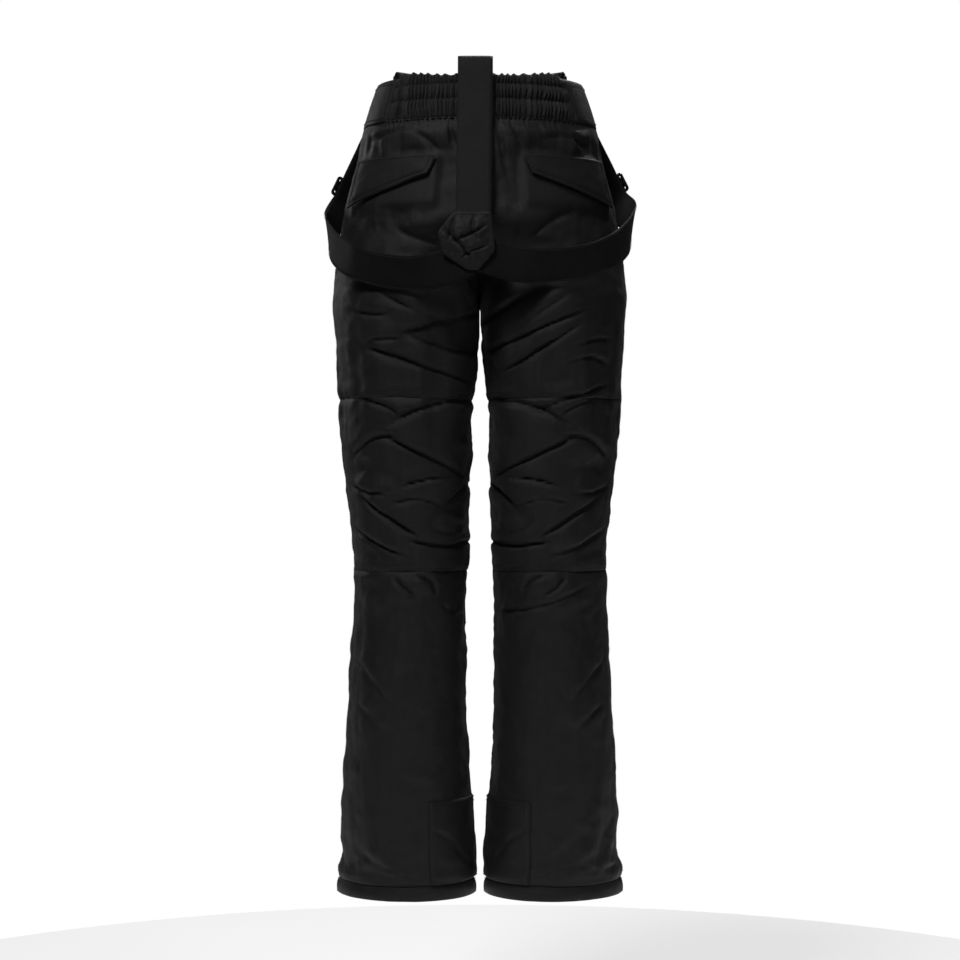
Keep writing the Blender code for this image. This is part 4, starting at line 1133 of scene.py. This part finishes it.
# Rear pocket flaps: two layers of shell turned out at the edge and topstitched
FLAP_TOP, FLAP_START, FLAP_END = -0.104, 0.262, 0.788
FLAP_LOW = ((0.262, -0.165), (0.400, -0.155), (0.520, -0.146), (0.640, -0.137), (0.788, -0.127))
for side, hand in SIDES:
    ts = np.linspace(FLAP_START, FLAP_END, 90)
    shares = np.linspace(0, 1, 44)
    lows = np.interp(ts, [k[0] for k in FLAP_LOW], [k[1] for k in FLAP_LOW])
    t_flap = ts[None] - 0.034 * shares[:, None] * np.maximum(0, (ts[None] - 0.60) / (FLAP_END - 0.60))
    z_flap = FLAP_TOP + (lows[None] - FLAP_TOP) * shares[:, None]
    base = on_body(side, 1, t_flap, z_flap, np.full(t_flap.shape, 0.0026))
    facing = normals_of(side, 1, t_flap, z_flap)
    u, v = lengths_along(base, 1), lengths_along(base, 0)
    from_edge = np.minimum(np.minimum(u, u[:, -1:] - u), v[-1:] - v)
    rolled = np.sqrt(np.clip(from_edge / 0.0022, 0, 1) * (2 - np.clip(from_edge / 0.0022, 0, 1)))
    puff = 0.0007 * step_between(0.004, 0.012, from_edge)
    wave = 0.0007 * rough(base, 42.0, 3.1 * side, 3) * step_between(0.0, 0.01, v)
    channel = 0.0004 * np.exp(-(((from_edge - 0.0055) / 0.0013) ** 2))
    top = 0.0011 + 0.0014 * rolled + puff + wave - channel
    low = 0.0011 * (1 - rolled) + np.minimum(wave, 0) * 0.3
    outer = base + facing * top[..., None]
    inner = base + facing * low[..., None]
    made = wall("back_pocket_flap_" + hand, outer, inner, [SHELL, SHELL])
    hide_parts("pocket_flap_" + hand)
    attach(made, "pocket_flap_" + hand + "_body")
    run = lengths_along(outer, 1)
    for inset in (0.0018, 0.0062):
        rows = [int(np.argmin(np.abs((v[-1:] - v)[:, j] - inset))) for j in range(90)]
        keep = [j for j in range(90) if from_edge[rows[j], j] > inset * 0.6]
        stitch_line(outer[[rows[j] for j in keep], keep], facing[[rows[j] for j in keep], keep], lift=0.0003)
        for column in (int(round(inset / u[0, -1] * 89)), 89 - int(round(inset / u[0, -1] * 89))):
            tall = int(44 * (1 - inset / v[-1, column]))
            stitch_line(outer[1:tall, column], facing[1:tall, column], lift=0.0003)
    stitch_line(outer[2], facing[2], lift=0.0003)
    sew("flap_stitching_" + hand, "pocket_flap_" + hand + "_body")

    t_patch, z_patch = np.meshgrid(np.linspace(0.40, 0.52, 26), np.linspace(-0.118, -0.128, 12))
    fuzz = 0.0003 * rough(np.stack((t_patch * 90, z_patch * 900, z_patch * 0), -1), 1.0, 4.4, 2)
    outer = on_body(side, 1, t_patch, z_patch, 0.0015 + fuzz)
    inner = on_body(side, 1, t_patch, z_patch, np.full(t_patch.shape, 0.0003))
    made = wall("hook_and_loop_" + hand, outer, inner, [TAPE, TAPE])
    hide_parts("flap_patch_" + hand)
    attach(made, "garment")

    # Scuff guard over the inner ankle
    rows = np.linspace(-0.915, HEM_SEAM + 0.001, 40)
    behind = [(1, t) for t in np.linspace(0.622, 1.0, 34)]
    before = [(-1, t) for t in np.linspace(0.985, 0.622, 33)]
    outer, looks = [], []
    for face, t in behind + before:
        points, facing = surface_line(side, face, np.full(40, t), rows)
        outer.append(points)
        looks.append(facing)
    outer, looks = np.stack(outer, 1), np.stack(looks, 1)
    u, v = lengths_along(outer, 1), lengths_along(outer, 0)
    from_edge = np.minimum(np.minimum(u, u[:, -1:] - u), np.minimum(v, v[-1:] - v))
    lift = 0.0008 + 0.0011 * np.sqrt(np.clip(from_edge / 0.0016, 0, 1))
    lift += 0.0003 * rough(outer, 55.0, 7.7, 2) * step_between(0, 0.006, from_edge)
    made = wall("ankle_guard_" + hand, outer + looks * lift[..., None], outer + looks * 0.0004, [SCUFF, SCUFF])
    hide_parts("scuff_guard_" + hand)
    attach(made, "garment")
    top = outer + looks * (lift + 0.0001)[..., None]
    for k in (1, 3):
        stitch_line(top[k], looks[k], lift=0.0003)
        stitch_line(top[:, k], looks[:, k], lift=0.0003)
        stitch_line(top[:, -1 - k], looks[:, -1 - k], lift=0.0003)
    stitch_line(top[-2], looks[-2], lift=0.0003)

    # Inner snow gaiter with an elastic lower edge
    rows = np.linspace(-0.850, -1.030, 46)
    turns = np.linspace(0, 2 * np.pi, 168, endpoint=False)
    insets = (-0.0046, -0.0120, -0.0190, -0.0220, -0.0205)
    inset = np.interp(-rows, (0.850, 0.900, 0.970, 1.016, 1.030), insets)[:, None]
    turn_grid, z_grid = np.meshgrid(turns, rows)
    waves = np.sin(turn_grid * 41 + 1.6 * np.sin(turn_grid * 5))
    ruffle = 0.0011 * waves * step_between(0.985, 1.020, -z_grid)
    uneven = rough(leg_points(1, turn_grid, z_grid, 0.0), 30.0, 5.2, 3)
    soft = 0.0008 * uneven * step_between(0.852, 0.880, -z_grid)
    outer = leg_points(side, turn_grid, z_grid, inset + ruffle + soft)
    inner = leg_points(side, turn_grid, z_grid, inset + ruffle + soft - 0.0013)
    made = wall("snow_gaiter_" + hand, outer, inner, [GAITER, GAITER], ring=True)
    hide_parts("gaiter_" + hand)
    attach(made, "garment")

    # Belt loop
    foot = Vector(on_body(side, -1, 0.72, -0.027, 0.0023))
    look = Vector(normals_of(side, -1, 0.72, -0.027))
    place = turned_frame(foot, Vector((0, 0, 1)).cross(look) * -1, look)
    arch = ((-0.0250, 0.0007), (-0.0215, 0.0008), (-0.0178, 0.0040), (0.0, 0.0041))
    arch += ((0.0178, 0.0040), (0.0215, 0.0008), (0.0250, 0.0007))
    made, line, looks, across = webbing(
        "trouser_loop_" + hand, [place @ Vector((0, o, k)) for k, o in arch],
        lambda here, along, look=look: look, 0.0108, 0.0011, [SHELL], steps=0.0012, across_count=7,
    )
    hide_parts("belt_loop_" + hand)
    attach(made, "garment")
    for share in (-0.66, 0.66):
        stitch_line(line + looks * 0.0006 + across * share * 0.0054, looks, lift=0.0002)
    for k in (1, 2, -3, -2):
        bar = np.linspace(-0.8, 0.8, 12)[:, None] * across[k] * 0.0054 + line[k] + looks[k] * 0.0006
        stitch_line(bar, np.repeat(looks[k:k + 1], 12, 0), pitch=0.0014, long=0.0012)
    sew("guard_and_loop_stitching_" + hand)

# Closure tab
TAB_WIDE, TAB_HIGH, TAB_CORNER = 0.066, 0.040, 0.014
tab_frame = turned_frame((0.036, -(0.097 + 0.0015 + 0.0004) - 0.0040, -0.027), (1, 0, 0), (0, -1, 0))
half = TAB_HIGH / 2
corners = [(0, -half), (0, half), (TAB_CORNER - TAB_WIDE, half), (-TAB_WIDE, half - TAB_CORNER)]
corners += [(-TAB_WIDE, TAB_CORNER - half), (TAB_CORNER - TAB_WIDE, -half)]
outline = rounded_outline(corners, 0.003)
made = pad_piece("closure_tab", outline, tab_frame, 0.0024, 0.0002, [SHELL])
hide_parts("waist_tab")
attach(made, "waist_tab_body")
for inset in (0.0022, 0.0062):
    edge_stitches(outline, tab_frame, inset, 0.0013, lift=0.0002)
sew("tab_stitching", "waist_tab_body")
for k, height in enumerate((0.009, -0.009)):
    profile = ((0.0, 0.00345), (0.0022, 0.0034), (0.0032, 0.0030), (0.0036, 0.0027), (0.0042, 0.0028))
    profile += ((0.0052, 0.0034), (0.0059, 0.0030), (0.0062, 0.0023), (0.0061, 0.0017), (0.0, 0.0017))
    verts, faces = [], []
    for radius, rise in profile:
        for turn in range(48):
            angle = 2 * math.pi * turn / 48
            local = (-TAB_WIDE + 0.017 + radius * math.cos(angle), rise, height + radius * math.sin(angle))
            verts.append(tab_frame @ Vector(local))
    for i in range(len(profile) - 1):
        for turn in range(48):
            a, b = i * 48 + turn, i * 48 + (turn + 1) % 48
            faces.append((a, b, b + 48, a + 48))
    cap = add_object("snap_head_%d" % (k + 1), verts, faces, [METAL])
    work = bmesh.new()
    work.from_mesh(cap.data)
    bmesh.ops.remove_doubles(work, verts=work.verts, dist=1e-6)
    bmesh.ops.recalc_face_normals(work, faces=work.faces)
    work.to_mesh(cap.data)
    work.free()
    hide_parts("snap_cap_%d" % (k + 1))
    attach(cap, "waist_tab_body")

# Yoke patch where webbing and straps meet, crumpled by their pull
yoke_frame = turned_frame((0.0, 0.1415, -0.212), (1, 0, 0), (0, 1, -0.04))
corners = [(-0.014, 0.034), (0.033, 0.034), (0.053, 0.008), (0.046, -0.018)]
corners += [(0.016, -0.038), (0.002, -0.038), (-0.019, -0.014)]
outline = rounded_outline(corners, 0.0035)


YOKE_FOLDS = in_metres((
    (((-12, 20), (12, 6), (36, -2)), 1.6, 4.2, 6, 3.4, 5),
    (((48, 14), (26, -6), (8, -30)), 2, 3.8, 6, 3, 5),
    (((-14, -6), (8, -14), (30, -26)), 1.6, 3.6, 5, 2.8, 5),
    (((26, 32), (36, 14), (38, -4)), 1, 3, 5, 2.2, 5),
    (((4, 32), (10, 14), (4, -2)), 1, 2.4, 5, 2, 5),
))


def yoke_bumps(x, z):
    """Crumples of the yoke: its folds, uneven cloth and sharp ridges."""
    out = np.zeros(x.shape)
    for stroke in YOKE_FOLDS:
        out += crease(x, z, stroke)
    points = np.stack((x, x * 0, z), -1)
    uneven = 0.0018 * rough(points, 52.0, 2.9, 3)
    ridges = 0.0016 * (1 - np.abs(rough(points, 34.0, 6.1, 2)))
    return out * 0.8 + uneven + ridges - 0.0008


made = pad_piece(
    "back_yoke", outline, yoke_frame, 0.0030, 0.0004, [SHELL], bumps=yoke_bumps, rings=30, count=150
)
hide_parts("brace_yoke")
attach(made, "garment")
edge_stitches(outline, yoke_frame, 0.0030, 0.0016, bumps=yoke_bumps, lift=0.0004)
sew("yoke_stitching")

# ---------------------------------------------------------------- zips: woven tape, coil teeth, welts
for name, (base, long) in ZIPS.items():
    shares, xs = np.linspace(0, 1, 90), np.linspace(-0.013, 0.013, 19)
    x_grid, z_grid = np.meshgrid(xs, shares * long)
    dip = 0.0001 * np.sin(z_grid * 310) * np.abs(x_grid) / 0.013
    thick = 0.0009 - 0.0004 * np.exp(-((x_grid / 0.0010) ** 2)) + dip
    layers = []
    for height in (thick, np.full(x_grid.shape, 0.0001)):
        spots = np.stack((x_grid, height, z_grid), -1).reshape(-1, 3)
        layers.append(np.array([tuple(base @ Vector(p)) for p in spots]).reshape(x_grid.shape + (3,)))
    tape = wall(name + "_woven_tape", *layers, [TAPE, TAPE])
    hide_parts(name + "_tape")
    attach(tape, "garment")
    verts, faces = [], []
    pitch = 0.0015
    for k in range(int((long - 0.004) / pitch)):
        for hand_of in (1, -1):
            z = 0.002 + (k + (0.5 if hand_of > 0 else 0.0)) * pitch
            first = len(verts)
            for x, fat in ((2.75, 0.45), (2.45, 0.9), (1.2, 1.0), (-0.3, 1.0), (-0.8, 0.5)):
                for turn in range(6):
                    angle = math.pi / 3 * turn
                    local = (
                        hand_of * x * 0.001,
                        0.00155 + 0.00056 * fat * math.cos(angle),
                        z + 0.00050 * fat * math.sin(angle),
                    )
                    verts.append(base @ Vector(local))
            for i in range(4):
                for turn in range(6):
                    a, b = first + i * 6 + turn, first + i * 6 + (turn + 1) % 6
                    faces.append((a, b, b + 6, a + 6))
            faces.append(tuple(first + turn for turn in range(6)))
            faces.append(tuple(first + 24 + turn for turn in range(5, -1, -1)))
    teeth = add_object(name + "_coil_teeth", verts, faces, [COIL])
    fair_normals(teeth)
    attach(teeth, "garment")
    for x in (-0.0105, -0.0085, 0.0085, 0.0105):
        line = np.array([tuple(base @ Vector((x, 0.00095, z))) for z in np.linspace(0.001, long - 0.001, 80)])
        up = np.repeat(np.array(base.col[1][:3])[None], 80, 0)
        stitch_line(line, up, lift=0.0001, radius=0.00026)
sew("zip_stitching")

for side, hand in SIDES:
    base, long = ZIPS["pocket_zip_" + hand]
    tops, feet = [], []
    for share in np.linspace(-0.03, 1.03, 60):
        row, low = [], []
        for x in np.linspace(-0.0145, 0.0145, 15):
            soft = 0.0005 * (abs(x) / 0.0145) ** 6 + (0.0005 if share < -0.02 or share > 1.02 else 0.0)
            row.append(base @ Vector((x, -0.0004 - soft, share * long)))
            aim = base @ Vector((x, 0, share * long))
            t = 0.5
            for _ in range(12):
                gap = aim - Vector(body(side, -1, t, aim.z))
                ahead = Vector(body(side, -1, min(1, t + 0.01), aim.z))
                along = ahead - Vector(body(side, -1, t - 0.01, aim.z))
                t += 0.02 * gap.dot(along) / along.length_squared
            low.append(Vector(on_body(side, -1, t, aim.z, 0.0002)))
        tops.append([tuple(v) for v in row])
        feet.append([tuple(v) for v in low])
    made = wall("welt_" + hand, np.array(tops), np.array(feet), [SHELL, SHELL])
    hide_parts("pocket_welt_" + hand)
    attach(made, "garment")

# ---------------------------------------------------------------- materials of the parts kept as built
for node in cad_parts.values():
    name = node.name
    chosen = METAL
    if "hook" in name:
        chosen = PLASTIC
    elif "tape" in name or "patch" in name:
        chosen = TAPE
    elif "gaiter" in name:
        chosen = GAITER
    elif "scuff" in name:
        chosen = SCUFF
    elif "yoke" in name or "strap" in name or "web" in name or "loop" in name:
        chosen = WEBBING
    elif not any(word in name for word in ("slider", "pull", "snap", "adjuster")):
        chosen = SHELL
    node.data.materials.clear()
    node.data.materials.append(chosen)

# ---------------------------------------------------------------- floor, light, camera
FLOOR_RADIUS, FLOOR_HEIGHT, FLOOR_SIDES = 1.25, -1.30, 96
rim = []
for k in range(FLOOR_SIDES):
    angle = 2 * math.pi * k / FLOOR_SIDES
    rim.append((FLOOR_RADIUS * math.cos(angle), FLOOR_RADIUS * math.sin(angle), FLOOR_HEIGHT))
floor = add_object("floor", rim, [tuple(range(FLOOR_SIDES))], [])
made, nodes, links, shader = shader_of("pale_floor")
shader.inputs["Base Color"].default_value = (0.86, 0.86, 0.86, 1)
shader.inputs["Roughness"].default_value = 0.9
shader.inputs["Specular IOR Level"].default_value = 0.1
shader.inputs["Emission Color"].default_value = (1, 1, 1, 1)
shader.inputs["Emission Strength"].default_value = 0.40
floor.data.materials.append(made)
floor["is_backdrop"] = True

bpy.context.scene.view_settings.view_transform = "Standard"
world = bpy.data.worlds.new("studio")
bpy.context.scene.world = world
world.use_nodes = True
sky = world.node_tree.nodes["Background"]
sky.inputs["Color"].default_value = (1, 1, 1, 1)
# White to the camera, but a dim light on the garment
seen = world.node_tree.nodes.new("ShaderNodeLightPath")
level = add_node(world.node_tree.nodes, "MapRange", To_Min=0.035, To_Max=1.0)
world.node_tree.links.new(seen.outputs["Is Camera Ray"], level.inputs["Value"])
world.node_tree.links.new(level.outputs["Result"], sky.inputs["Strength"])


def soft_light(name, place, aim, size, power):
    data = bpy.data.lights.new(name, "AREA")
    data.shape = "RECTANGLE"
    data.size, data.size_y = size
    data.energy = power
    lamp = bpy.data.objects.new(name, data)
    lamp.location = place
    lamp.rotation_euler = (Vector(aim) - Vector(place)).to_track_quat("-Z", "Y").to_euler()
    bpy.context.scene.collection.objects.link(lamp)


soft_light("key", (0.7, 1.5, 1.8), (0, 0, -0.30), (0.55, 0.55), 38)
soft_light("fill", (-1.9, 2.1, 0.6), (0, 0, -0.4), (0.5, 1.0), 7)
soft_light("front", (-0.7, -1.5, 1.8), (0, 0, -0.30), (0.55, 0.55), 38)
soft_light("front_fill", (1.9, -2.1, 0.6), (0, 0, -0.4), (0.5, 1.0), 7)

CAMERA_AWAY, PICTURE_WIDE = 2.9, 1.248
lens = bpy.data.cameras.new("camera")
lens.sensor_width = 36
lens.lens = lens.sensor_width * CAMERA_AWAY / PICTURE_WIDE
eye = bpy.data.objects.new("camera", lens)
eye.location = (0.0, CAMERA_AWAY, -0.510)
eye.rotation_euler = (math.pi / 2, 0, math.pi)
lens.clip_end = 60
bpy.context.scene.collection.objects.link(eye)
bpy.context.scene.camera = eye

low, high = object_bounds()
